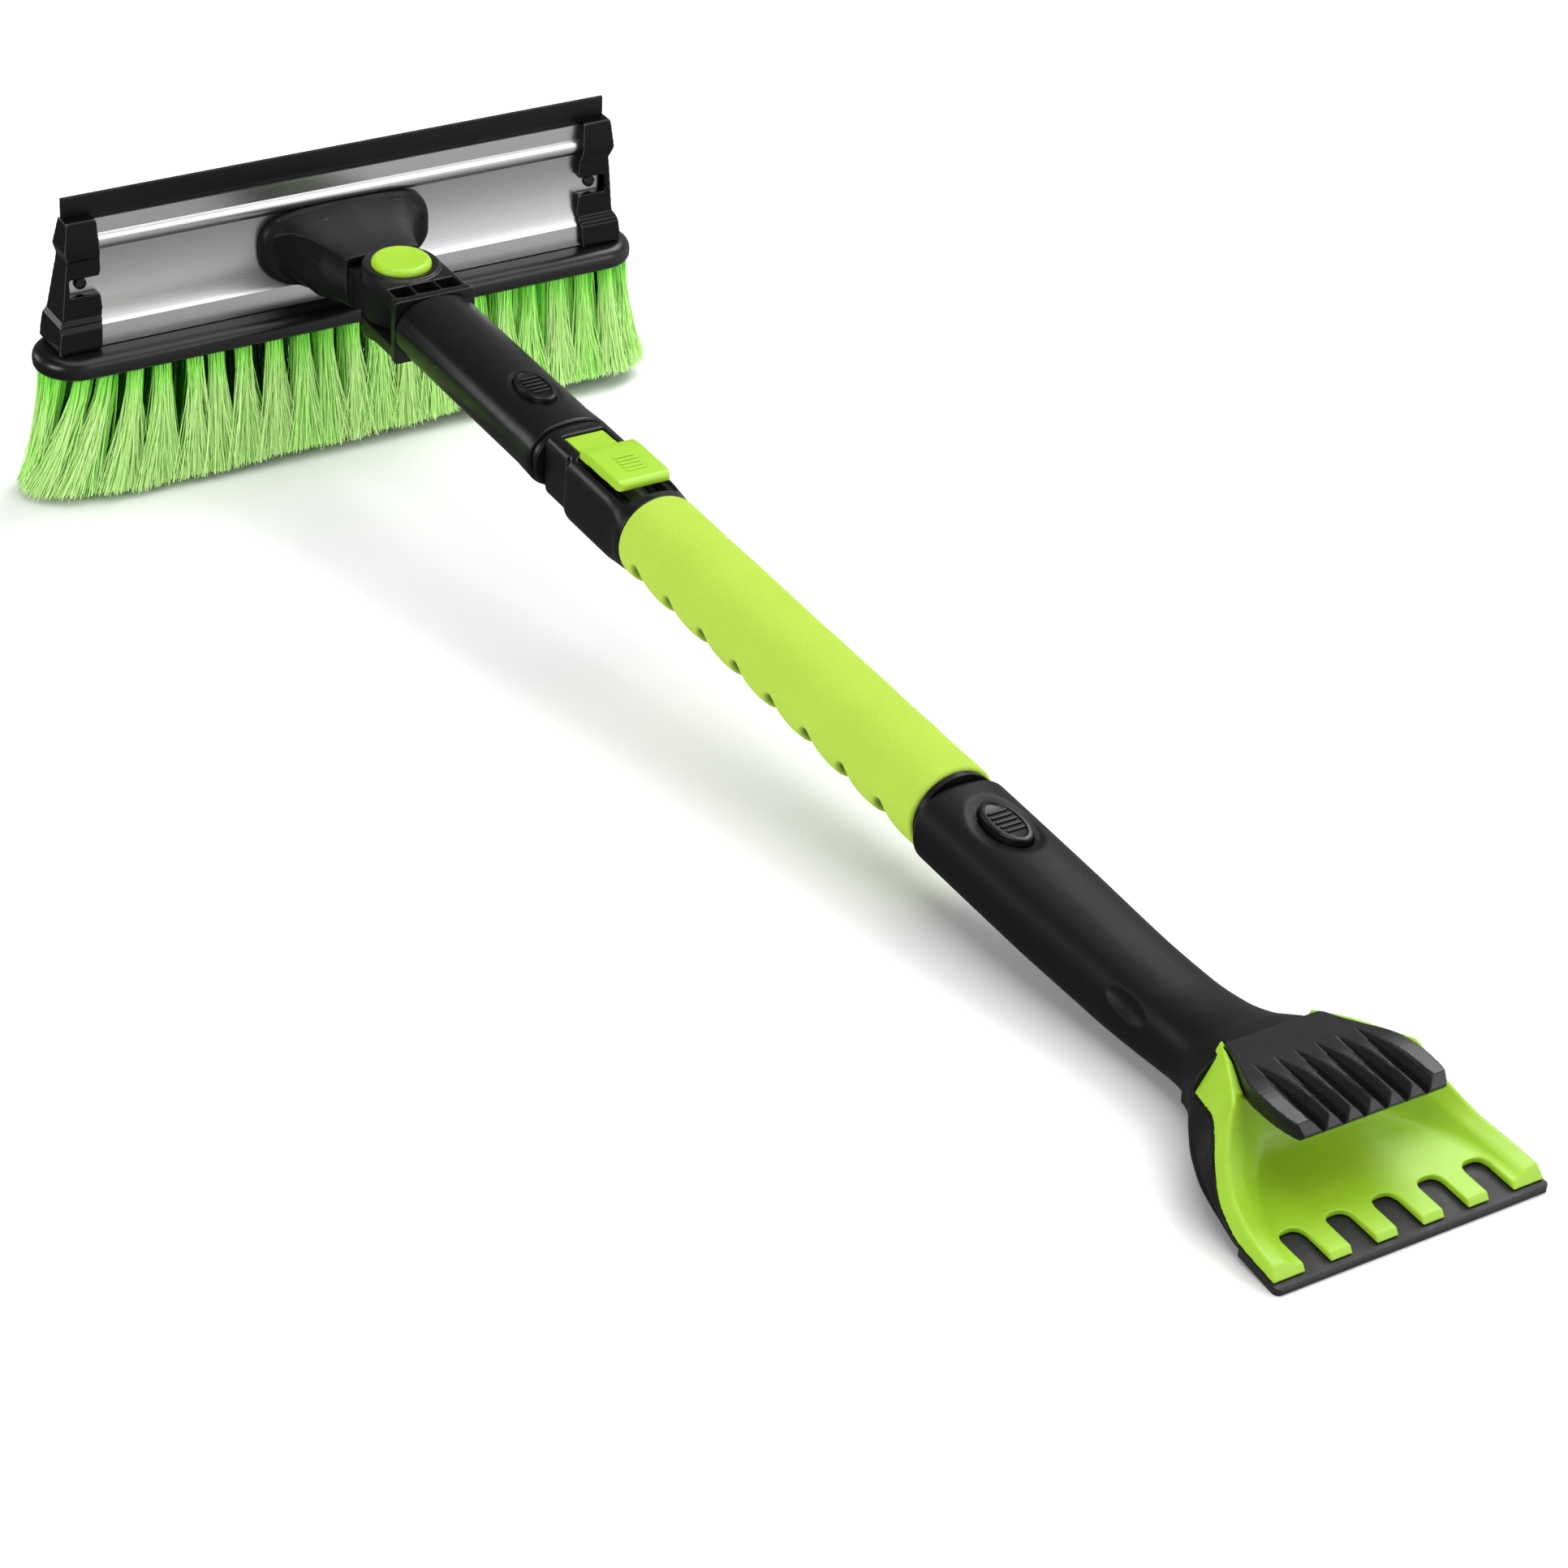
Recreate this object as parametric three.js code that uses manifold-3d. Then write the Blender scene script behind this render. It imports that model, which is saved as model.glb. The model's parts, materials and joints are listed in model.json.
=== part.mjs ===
// Snow brush scraper: a telescopic handle with a pivoting brush and squeegee head at one end
// and an ice scraper at the other. Millimetres.
//
// Every piece is drawn in the handle frame: origin where the pivot axis crosses the handle's
// axis, +X along the handle towards the scraper, +Y along the brush head, +Z up out of the
// handle's top. The whole tool is then tilted so that the bristle tips and the scraper's blade
// stand on the plane z = 0, with the origin under the middle of its bounding box.
import * as THREE from "three";
import { mergeVertices } from "three/addons/utils/BufferGeometryUtils.js";
import Module from "manifold-3d";

const wasm = await Module();
wasm.setup();

// ---------------------------------------------------------------- driving dimensions
const TILT = THREE.MathUtils.degToRad(7.2); // handle dips towards the scraper when it lies down
const GAP = 0.4; // clearance between neighbouring pieces

const HEAD = {
  x: -60, // middle of the squeegee blade and of the bristle block
  railHalf: 131,
  railTop: 35.3,
  railBottom: -24.2,
  bladeHalf: 132.6,
  bladeTop: 46.2,
  bladeThick: 2.3,
  capInner: 118.5,
  blockHalf: 148,
  blockHalfWidth: 18.5,
  blockTop: -24.6,
  blockBottom: -34,
  tipHalf: 162,
  tipHalfWidth: 29.5,
};
const PIVOT = {
  plate: 8.5, // inner face of each fork plate
  top: 13,
  bottom: -14.2,
  outerR: 17.5,
  boreR: 13.7,
  stemR: 8.6,
  buttonR: 13.3,
  buttonTop: 18.6,
  seat: 13.7, // underside of the button's head
  endPlate: 29,
};
const TUBE = { x0: 32.9, x1: 155, a: 19.2, b: 14.3, z: 0.9, wall: 2.2, n: 2.3 };
const BRUSH_PLUG = { x0: 73, x1: 156, a: 14.4, b: 11.6, z: 0.9, wall: 2 };
const LATCH = { a: 13.6, b: 7.1, height: 7.6, brushX: 123, scraperX: 473.5 };
const INNER = { x0: 140, x1: 390, r: 9.5, wall: 1.1 };
const OUTER = { x0: 200.4, x1: 456.5, r: 11.3, wall: 1.2 };
const HOUSING = { x0: 159.4, step: 178, x1: 227, slot0: 164.4, slot1: 217.6, slotHalf: 10 };
const LEVER = { pinX: 179, pinZ: 12.6, pinR: 1.4, hubR: 2.6, padEnd: 216, padTop: 20.4 };
const FOAM = { x0: 227.4, x1: 441.2, r: 18.5 };
const SCRAPER = { x0: 444.6, plugEnd: 527, a: 20, b: 16, z: -0.8, n: 2.4 };
const BLADE = { rear: 683.4, edge: 706, bottom: 0.6, top: 3.2, half: 55 };
const COMB = { front: 703.2, notches: 5, pitch: 18.5, width: 9.8, top: 686 };

const PLASTIC_BLACK = [0x17181a, 0.42, 0];
const PLASTIC_MATTE = [0x242527, 0.62, 0];
const PLASTIC_LIME = [0xa8dc3c, 0.4, 0];
const FOAM_LIME = [0xb0dc48, 0.9, 0];
const BRISTLE = [0x5fe04a, 0.6, 0];
const RUBBER = [0x141414, 0.7, 0];
const ALUMINIUM = [0xb9bbc2, 0.32, 1];
const STEEL = [0x9a9da3, 0.35, 1];

// ---------------------------------------------------------------- geometry helpers
const ALONG_X = new THREE.Matrix4().makeBasis(
  new THREE.Vector3(0, 1, 0), new THREE.Vector3(0, 0, 1), new THREE.Vector3(1, 0, 0));
const ALONG_Y = new THREE.Matrix4().makeBasis(
  new THREE.Vector3(1, 0, 0), new THREE.Vector3(0, 0, 1), new THREE.Vector3(0, -1, 0));

function solid(geometry) {
  const plain = geometry.clone();
  plain.deleteAttribute("normal");
  plain.deleteAttribute("uv");
  const merged = mergeVertices(plain, 1e-4);
  return new wasm.Manifold(new wasm.Mesh({
    numProp: 3,
    vertProperties: new Float32Array(merged.attributes.position.array),
    triVerts: new Uint32Array(merged.index.array),
  }));
}

function join(...solids) {
  return solids.reduce((whole, next) => whole.add(next));
}

function cut(whole, ...tools) {
  return tools.reduce((rest, tool) => rest.subtract(tool), whole);
}

function geometryOf(made) {
  const mesh = made.getMesh();
  const geometry = new THREE.BufferGeometry();
  geometry.setAttribute("position", new THREE.BufferAttribute(mesh.vertProperties, 3));
  geometry.setIndex(new THREE.BufferAttribute(mesh.triVerts, 1));
  const flat = geometry.toNonIndexed();
  flat.computeVertexNormals();
  return flat;
}

function extrude(shape, depth, curveSegments = 8) {
  return new THREE.ExtrudeGeometry(shape, { depth, bevelEnabled: false, curveSegments });
}

// A (y, z) outline swept from x0 to x1.
function alongX(shape, x0, x1, segments) {
  return solid(extrude(shape, x1 - x0, segments).applyMatrix4(ALONG_X).translate(x0, 0, 0));
}

// An (x, z) outline swept from y0 to y1.
function alongY(shape, y0, y1, segments) {
  return solid(extrude(shape, y1 - y0, segments).applyMatrix4(ALONG_Y).translate(0, y1, 0));
}

// An (x, y) outline swept from z0 to z1.
function alongZ(shape, z0, z1, segments) {
  return solid(extrude(shape, z1 - z0, segments).translate(0, 0, z0));
}

function box(x0, x1, y0, y1, z0, z1) {
  const geometry = new THREE.BoxGeometry(x1 - x0, y1 - y0, z1 - z0);
  return solid(geometry.translate((x0 + x1) / 2, (y0 + y1) / 2, (z0 + z1) / 2));
}

function polygon(points) {
  return new THREE.Shape(points.map(([u, v]) => new THREE.Vector2(u, v)));
}

function circle(u, v, r) {
  return new THREE.Shape().absarc(u, v, r, 0, 2 * Math.PI, false);
}

function oval(u, v, a, b) {
  return new THREE.Shape().absellipse(u, v, a, b, 0, 2 * Math.PI, false, 0);
}

function roundedRect(u0, u1, v0, v1, r) {
  const quarter = Math.PI / 2;
  return new THREE.Shape()
    .absarc(u1 - r, v0 + r, r, -quarter, 0, false)
    .absarc(u1 - r, v1 - r, r, 0, quarter, false)
    .absarc(u0 + r, v1 - r, r, quarter, 2 * quarter, false)
    .absarc(u0 + r, v0 + r, r, 2 * quarter, 3 * quarter, false);
}

// The handle's section: a superellipse of half-width a, half-height b and exponent n.
function superellipse(a, b, n, z = 0, count = 28) {
  return Array.from({ length: count }, (_, i) => {
    const t = (2 * Math.PI * i) / count;
    const c = Math.cos(t);
    const s = Math.sin(t);
    const y = Math.sign(c) * a * Math.abs(c) ** (2 / n);
    return [y, z + Math.sign(s) * b * Math.abs(s) ** (2 / n)];
  });
}

// A bar along X with the handle's section.
function sectionX(a, b, z, n, x0, x1, count = 28) {
  return alongX(polygon(superellipse(a, b, n, z, count)), x0, x1);
}

function tubeX(r, x0, x1, segments = 20) {
  return alongX(circle(0, 0, r), x0, x1, segments);
}

function rodX(r, y, z, x0, x1, segments = 12) {
  return alongX(circle(y, z, r), x0, x1, segments);
}

function cylinderZ(x, y, r, z0, z1, segments = 20) {
  return alongZ(circle(x, y, r), z0, z1, segments);
}

// A body of revolution about Z from (radius, z) points.
function lathe(profile, segments) {
  const points = profile.map(([r, z]) => new THREE.Vector2(r, z));
  return solid(new THREE.LatheGeometry(points, segments).rotateX(Math.PI / 2));
}

// Skins a row of rings with equal counts of points and closes both ends.
function loft(rings) {
  const count = rings[0].length;
  const corners = [];
  for (let i = 0; i + 1 < rings.length; i += 1) {
    for (let j = 0; j < count; j += 1) {
      const k = (j + 1) % count;
      corners.push(rings[i][j], rings[i][k], rings[i + 1][k]);
      corners.push(rings[i][j], rings[i + 1][k], rings[i + 1][j]);
    }
  }
  const last = rings.length - 1;
  for (const [end, flip] of [[0, true], [last, false]]) {
    const ring = rings[end];
    const [u, v] = flatAxes(rings);
    const outline = ring.map((p) => new THREE.Vector2(p[u], p[v]));
    for (const [a, b, c] of THREE.ShapeUtils.triangulateShape(outline, [])) {
      corners.push(...(flip ? [ring[a], ring[c], ring[b]] : [ring[a], ring[b], ring[c]]));
    }
  }
  return solid(new THREE.BufferGeometry().setFromPoints(corners));
}

// The two axes that a loft's rings are drawn in: y, z along X, and x, y along Z.
function flatAxes(rings) {
  const step = rings[rings.length - 1][0].clone().sub(rings[0][0]);
  return Math.abs(step.x) > Math.abs(step.z) ? ["y", "z"] : ["x", "y"];
}

// A loft along X through sections [x, half-width, top, bottom, exponent].
function loftSections(sections, grow = 0, count = 28) {
  return loft(sections.map(([x, half, top, bottom, n]) => {
    const b = (top - bottom) / 2 + grow;
    return superellipse(half + grow, b, n, (top + bottom) / 2, count)
      .map(([y, z]) => new THREE.Vector3(x, y, z));
  }));
}

// Values read off at a given x between control points [x, value, ...].
function curveThrough(points) {
  const xs = points.map((p) => p[0]);
  return (x) => {
    let i = 0;
    while (i < xs.length - 2 && x > xs[i + 1]) i += 1;
    const t = THREE.MathUtils.clamp((x - xs[i]) / (xs[i + 1] - xs[i]), 0, 1);
    return points[i].slice(1).map((v, k) => v + (points[i + 1][k + 1] - v) * t);
  };
}

class Helix extends THREE.Curve {
  constructor(r, length, turns) {
    super();
    Object.assign(this, { r, length, turns });
  }

  getPoint(t, target = new THREE.Vector3()) {
    const angle = 2 * Math.PI * this.turns * t;
    return target.set(this.r * Math.cos(angle), this.r * Math.sin(angle), this.length * t);
  }
}

// A compression spring standing on (x, y, z0).
function spring(x, y, z0, z1, r, wire, turns) {
  const path = new Helix(r, z1 - z0 - wire, turns);
  const section = new THREE.Shape().absarc(0, 0, wire / 2, 0, 2 * Math.PI, false);
  const options = { steps: Math.round(turns * 7), extrudePath: path, curveSegments: 2 };
  const coil = new THREE.ExtrudeGeometry(section, options);
  return solid(coil.translate(x, y, z0 + wire / 2));
}

// ---------------------------------------------------------------- scene graph
const tool = new THREE.Group();

function piece(name, made, [color, roughness, metalness]) {
  const material = new THREE.MeshStandardMaterial({ color, roughness, metalness });
  const mesh = new THREE.Mesh(geometryOf(made), material);
  mesh.name = name;
  tool.add(mesh);
}

// ---------------------------------------------------------------- brush head
// The rail's front outline from its top to its foot, pushed forward by offset.
function railFront(path, offset = 0) {
  const x = (value) => value + offset;
  path.lineTo(x(-57.4), 28.2);
  path.quadraticCurveTo(x(-53.4), 24.6, x(-57.2), 20.6);
  path.quadraticCurveTo(x(-61), 2, x(-54.3), -13.6);
  path.lineTo(x(-53.9), -14.3);
  path.lineTo(x(-53.5), HEAD.railBottom - offset);
}

function railProfile() {
  const path = new THREE.Shape();
  path.moveTo(-58.9, HEAD.railTop);
  path.lineTo(-57.4, HEAD.railTop);
  railFront(path);
  path.lineTo(-55.3, HEAD.railBottom);
  path.lineTo(-55.8, -16.2);
  path.lineTo(-64.3, -16.2);
  path.lineTo(-64.3, HEAD.railBottom);
  path.lineTo(-66.1, HEAD.railBottom);
  path.lineTo(-66.1, -14.2);
  path.lineTo(-57.4, -14.2);
  path.quadraticCurveTo(-63, 2, -59.2, 20);
  path.lineTo(-63.5, 20);
  path.lineTo(-63.5, HEAD.railTop);
  path.lineTo(-61.9, HEAD.railTop);
  path.lineTo(-61.9, 22.2);
  path.lineTo(-58.9, 22.2);
  return path;
}

// Everything behind the rail's face, grown by the gap: what the neck and the caps leave free.
function railEnvelope(back) {
  const path = new THREE.Shape();
  path.moveTo(back, HEAD.railTop + GAP);
  path.lineTo(-57.4 + GAP, HEAD.railTop + GAP);
  railFront(path, GAP);
  path.lineTo(back, HEAD.railBottom - GAP);
  return path;
}

const RIVET = { y: 126.2, z: 5.6, r: 2.75, shankR: 1.4 };
const SCREW = { ys: [-26, 26], zs: [-7, 12], r: 1.5 };

function screwPlaces() {
  return SCREW.ys.flatMap((y) => SCREW.zs.map((z) => [y, z]));
}

const railHoles = [
  ...[-RIVET.y, RIVET.y].map((y) => rodX(RIVET.shankR + GAP, y, RIVET.z, -70, -50, 6)),
  ...screwPlaces().map(([y, z]) => rodX(SCREW.r + GAP, y, z, -70, -50, 6)),
];
piece("squeegee_rail", cut(alongY(railProfile(), -HEAD.railHalf, HEAD.railHalf, 5), ...railHoles),
  ALUMINIUM);

const bladeBack = HEAD.x - 0.4 - HEAD.bladeThick / 2;
const bladeFront = bladeBack + HEAD.bladeThick;
const squeegeeProfile = polygon([
  [bladeBack, 22.6],
  [bladeFront, 22.6],
  [bladeFront, HEAD.bladeTop - 2],
  [bladeFront - 0.6, HEAD.bladeTop],
  [bladeBack + 0.6, HEAD.bladeTop],
  [bladeBack, HEAD.bladeTop - 2],
]);
piece("squeegee_blade", alongY(squeegeeProfile, -HEAD.bladeHalf, HEAD.bladeHalf), RUBBER);

const capSide = polygon([
  [-52.7, 37.4], [-51.8, 30], [-51.5, 23.5], [-52.4, 19.4], [-53.4, 18.6], [-53.4, -9.8],
  [-52.2, -10.8], [-52.2, -12.6], [-50.8, -13.6], [-50.4, HEAD.railBottom],
  [-74, HEAD.railBottom], [-73, -13], [-66, 16], [-66, 22], [-61.9, 37.4],
]);
const capFace = polygon([
  [HEAD.capInner, HEAD.railBottom], [140, HEAD.railBottom], [139.6, -19], [138.6, -12],
  [136.9, -10], [134.6, 12], [133.9, 19], [135.2, 24], [134.4, 31], [133.8, 37.4],
  [HEAD.capInner, 37.4],
]);
const capInside = HEAD.railHalf + GAP;
const capBody = cut(
  alongY(capSide, HEAD.capInner, 140.2).intersect(alongX(capFace, -80, -40)),
  alongY(railEnvelope(-64), HEAD.capInner - 1, capInside, 5),
  box(-66.6, -53, HEAD.capInner - 1, capInside, HEAD.railBottom - 1, -13.6),
  box(bladeBack - GAP, bladeFront + GAP, HEAD.capInner - 1, HEAD.bladeHalf + GAP, 21.8, 40),
  box(-60, -45, HEAD.capInner - 1, 132.8, 1.2, 9.8),
);
const capRivet = join(
  rodX(RIVET.r, RIVET.y, RIVET.z, -58.1, -57, 20),
  rodX(RIVET.shankR, RIVET.y, RIVET.z, -62.6, -57.4, 8),
);
for (const [side, sign] of [["left", -1], ["right", 1]]) {
  const place = (made) => (sign > 0 ? made : made.mirror([0, 1, 0]));
  piece(`end_cap_${side}`, place(capBody), PLASTIC_BLACK);
  piece(`cap_rivet_${side}`, place(capRivet), PLASTIC_BLACK);
}

// A stadium ring about the head's middle line at a given height.
function stadium(halfLength, halfWidth, heightAt, perEnd = 9) {
  const ring = [];
  for (const [side, start] of [[1, 0], [-1, Math.PI]]) {
    for (let i = 0; i < perEnd; i += 1) {
      const angle = start + (Math.PI * i) / (perEnd - 1);
      const x = HEAD.x + halfWidth * Math.cos(angle);
      const y = side * (halfLength - halfWidth) + halfWidth * Math.sin(angle);
      ring.push(new THREE.Vector3(x, y, heightAt(x)));
    }
  }
  return ring;
}

const level = (z) => () => z;
const blockRing = (inset, z) =>
  stadium(HEAD.blockHalf - inset, HEAD.blockHalfWidth - inset, level(z));
const blockBody = loft([
  blockRing(1.6, HEAD.blockBottom),
  blockRing(0, HEAD.blockBottom + 2),
  blockRing(0, HEAD.blockTop - 3.2),
  blockRing(0.9, HEAD.blockTop - 1.2),
  blockRing(3, HEAD.blockTop),
]);
const blockTongue = box(-63.9, -56.2, -117, 117, HEAD.blockTop - 1, -16.7);
piece("bristle_block", join(blockBody, blockTongue), PLASTIC_BLACK);

// The plane that the tool lies on, in the handle frame.
const floorAt = (x) => BLADE.bottom + (x - BLADE.edge) * Math.tan(TILT);
const tuftTop = HEAD.blockBottom - GAP;
const tuftSkirt = loft([
  stadium(HEAD.tipHalf, HEAD.tipHalfWidth, floorAt, 8),
  stadium(145, 15.5, level(tuftTop), 8),
]);
const tuftHollow = loft([
  stadium(118, 11, (x) => floorAt(x) - 1, 6),
  stadium(126, 4, level(tuftTop + 1), 6),
]);
const tuftRing = cut(tuftSkirt, tuftHollow);
const rowEnd = 124;
const far = 200;
const tuftRows = {
  bristles_front: box(HEAD.x + 0.2, 0, -rowEnd, rowEnd, -far, 0),
  bristles_back: box(-far, HEAD.x - 0.2, -rowEnd, rowEnd, -far, 0),
  bristles_left: box(-far, 0, -far, -rowEnd - GAP, -far, 0),
  bristles_right: box(-far, 0, rowEnd + GAP, far, -far, 0),
};
for (const [name, region] of Object.entries(tuftRows)) {
  piece(name, tuftRing.intersect(region), BRISTLE);
}

const NECK_SECTIONS = [
  [-58.5, 41.4, 23.4, -21.4, 2.4],
  [-52.5, 41.8, 24, -22, 2.4],
  [-48.5, 39.8, 23, -20.8, 2.4],
  [-44, 34.8, 21.2, -18.8, 2.4],
  [-38, 27.4, 18.6, -16.2, 2.6],
  [-31, 21.5, 15.8, -13.8, 3],
  [-24, 18.8, 13.6, -12, 4],
  [-18.3, 18, 12.6, -11.4, 5],
];
const knuckle = { r: 16.8, half: PIVOT.plate - GAP };
const neckBody = join(
  loftSections(NECK_SECTIONS),
  cylinderZ(0, 0, knuckle.r, -knuckle.half, knuckle.half, 16),
  box(-24, 0, -knuckle.r, knuckle.r, -knuckle.half, knuckle.half),
);
piece("head_neck", cut(
  neckBody,
  alongY(railEnvelope(-75), -50, 50, 5),
  cylinderZ(0, 0, PIVOT.stemR + GAP, -20, 20, 12),
  ...screwPlaces().map(([y, z]) => rodX(SCREW.r + GAP, y, z, -60, -48, 6)),
), PLASTIC_MATTE);

screwPlaces().forEach(([y, z], i) => {
  const shank = rodX(SCREW.r, y, z, -61.8, -48.6, 8);
  const head = rodX(2.8, y, z, -63.4, -61.6, 12);
  piece(`neck_screw_${i + 1}`, join(head, shank), STEEL);
});

// ---------------------------------------------------------------- pivot
function forkOutline(half) {
  const path = new THREE.Shape();
  path.absarc(0, 0, half, Math.PI / 2, (3 * Math.PI) / 2, false);
  path.lineTo(PIVOT.endPlate + 0.5, -half);
  path.lineTo(PIVOT.endPlate + 0.5, half);
  return path;
}

const pockets = [[-15.6, -6.4], [-5.2, 5.2], [6.4, 15.6]].flatMap(([y0, y1]) => [
  box(18.7, 27.8, y0, y1, 9.6, 20),
  box(18.7, 27.8, y0, y1, -20, -9.6),
]);
const clevisSolid = join(
  alongZ(forkOutline(PIVOT.outerR), PIVOT.plate, PIVOT.top, 10),
  alongZ(forkOutline(PIVOT.outerR), PIVOT.bottom, -PIVOT.plate, 10),
  cylinderZ(0, 0, PIVOT.outerR, PIVOT.top - 1, 16, 20),
  cylinderZ(0, 0, PIVOT.outerR, -16.4, PIVOT.bottom + 1, 20),
  box(18.4, PIVOT.endPlate + 1, -14.5, 14.5, -PIVOT.plate - 1, PIVOT.plate + 1),
  alongX(roundedRect(-19.4, 19.4, -14.4, 15.6, 3), PIVOT.endPlate, 32.5, 3),
  sectionX(16.5, 11.6, TUBE.z, TUBE.n, 32, 58, 20),
  alongZ(roundedRect(30, 46, -8.5, 8.5, 7), -16.2, -13.8, 4),
);
piece("pivot_clevis", cut(
  clevisSolid,
  cylinderZ(0, 0, PIVOT.boreR, 0, 20),
  cylinderZ(0, 0, PIVOT.stemR + GAP, -13, 0, 12),
  cylinderZ(0, 0, PIVOT.boreR, -20, -12),
  sectionX(14, 9.2, TUBE.z, TUBE.n, 36, 60, 16),
  ...pockets,
), PLASTIC_BLACK);

const springTop = 3.6;
piece("pivot_button", lathe([
  [0, springTop], [6.9, springTop], [6.9, -5.4], [PIVOT.stemR, -5.4],
  [PIVOT.stemR, PIVOT.seat], [PIVOT.buttonR, PIVOT.seat], [PIVOT.buttonR, 17.8],
  [12.6, PIVOT.buttonTop], [0, PIVOT.buttonTop],
], 24), PLASTIC_LIME);
const baseCap = { top: -12.4, bottom: -15.4 };
piece("pivot_base_cap", cylinderZ(0, 0, PIVOT.buttonR, baseCap.bottom, baseCap.top), PLASTIC_LIME);
piece("pivot_spring", spring(0, 0, baseCap.top + 0.3, springTop - 0.3, 5.6, 1.2, 4), STEEL);

// ---------------------------------------------------------------- brush handle
const fingerStrip = alongX(roundedRect(-6, 6, -14.9, -11, 1.5), 50, 150, 3);
const dimples = [56, 80, 104, 128].map((x) =>
  solid(new THREE.SphereGeometry(1, 12, 6).scale(7.4, 4.7, 2).translate(x, 0, -16)));
const latchHole = (x, z0, z1) => alongZ(oval(x, 0, LATCH.a + GAP, LATCH.b + GAP), z0, z1, 16);
piece("brush_handle_tube", cut(
  join(
    sectionX(TUBE.a, TUBE.b, TUBE.z, TUBE.n, TUBE.x0, TUBE.x1),
    fingerStrip,
  ),
  sectionX(TUBE.a - TUBE.wall, TUBE.b - TUBE.wall, TUBE.z, TUBE.n, 0, 200),
  latchHole(LATCH.brushX, 0, 30),
  ...dimples,
), PLASTIC_BLACK);

// A hollow plug that snaps into a handle, with a collar and a window for its latch button.
function coupling({ x0, x1, a, b, z, wall }, latchX, tubeR, tubeSide, collar) {
  const shell = join(sectionX(a, b, z, TUBE.n, x0, x1), collar);
  const [hollow0, hollow1, bore0, bore1] = tubeSide > 0
    ? [x0 - 1, INNER.x0 - GAP, x0, x1 + 10]
    : [OUTER.x1 + GAP, x1 + 1, x0 - 10, x1];
  return cut(
    shell,
    sectionX(a - wall, b - wall, z, TUBE.n, hollow0, hollow1, 20),
    tubeX(tubeR + 0.3, bore0, bore1, 16),
    latchHole(latchX, z, 30),
  );
}

const brushCollar = join(
  sectionX(18.6, 13.9, TUBE.z, TUBE.n, TUBE.x1 + GAP, 159),
  sectionX(14.6, 13.6, -0.6, 2.6, 157, 159),
);
piece("brush_coupling", coupling(BRUSH_PLUG, LATCH.brushX, INNER.r, 1, brushCollar), PLASTIC_BLACK);

// An oval button with transverse ribs, a retaining flange and a pocket for its spring.
function latchButton(x, top) {
  const flangeTop = top - LATCH.height - 0.4;
  const ribs = [-2, -1, 0, 1, 2].map((i) =>
    box(x + i * 2.9 - 0.5, x + i * 2.9 + 0.5, -4.2, 4.2, top - 1, top + 0.5));
  return cut(
    join(
      alongZ(oval(x, 0, LATCH.a, LATCH.b), flangeTop - 0.5, top, 16),
      alongZ(oval(x, 0, LATCH.a + 1.4, LATCH.b + 0.9), flangeTop - 1.8, flangeTop, 16),
      ...ribs,
    ),
    cylinderZ(x, 0, 4.6, flangeTop - 5, flangeTop + 1.4, 12),
  );
}

const latchTop = { brush: 16, scraper: 15.9 };
piece("brush_latch_button", latchButton(LATCH.brushX, latchTop.brush), PLASTIC_BLACK);
piece("brush_latch_spring", spring(LATCH.brushX, 0, -8.3, 9, 3.6, 0.9, 5), STEEL);

const innerTube = cut(
  tubeX(INNER.r, INNER.x0, INNER.x1),
  tubeX(INNER.r - INNER.wall, INNER.x0 - 1, INNER.x1 + 1),
);
piece("inner_tube", innerTube, ALUMINIUM);
const bushR = OUTER.r - OUTER.wall - 0.3;
piece("glide_bush", cut(
  join(
    tubeX(INNER.r - INNER.wall - 0.3, INNER.x1 - 15, INNER.x1 + 1, 16),
    tubeX(bushR, INNER.x1 + 0.3, INNER.x1 + 7),
  ),
  tubeX(5, INNER.x1 - 20, INNER.x1 + 10, 12),
), PLASTIC_MATTE);

// ---------------------------------------------------------------- extension: housing and lever
const housingSections = [
  [HOUSING.x0, 14.2, 14.9, -13.2, 3],
  [HOUSING.x0 + 1.2, 14.7, 15.4, -13.7, 3],
  [HOUSING.step - 1, 14.7, 15.4, -13.7, 3],
  [HOUSING.step + 2, 16.2, 15.5, -15.6, 3],
  [HOUSING.x1 - 9, 16.4, 15.7, -16.4, 2.7],
  [HOUSING.x1 - 2, 17.6, 16.8, -17.6, 2.3],
  [HOUSING.x1, 17.6, 17.2, -17.6, 2.1],
];
const slotFloor = 12.2;
const { slot0, slot1, slotHalf } = HOUSING;
piece("lock_housing", cut(
  loftSections(housingSections),
  tubeX(INNER.r + 0.4, 150, 240, 16),
  tubeX(OUTER.r + 0.3, OUTER.x0 - GAP, 240, 16),
  box(slot0, slot1, -slotHalf - 0.3, slotHalf + 0.3, slotFloor, 30),
  box(slot0, LEVER.pinX + 4, -slotHalf - 0.3, slotHalf + 0.3, 8, 30),
  alongY(circle(LEVER.pinX, LEVER.pinZ, LEVER.pinR + 0.3), -30, 30, 8),
), PLASTIC_BLACK);

piece("lever_pin", alongY(circle(LEVER.pinX, LEVER.pinZ, LEVER.pinR), -15.6, 15.6, 12), STEEL);

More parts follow.
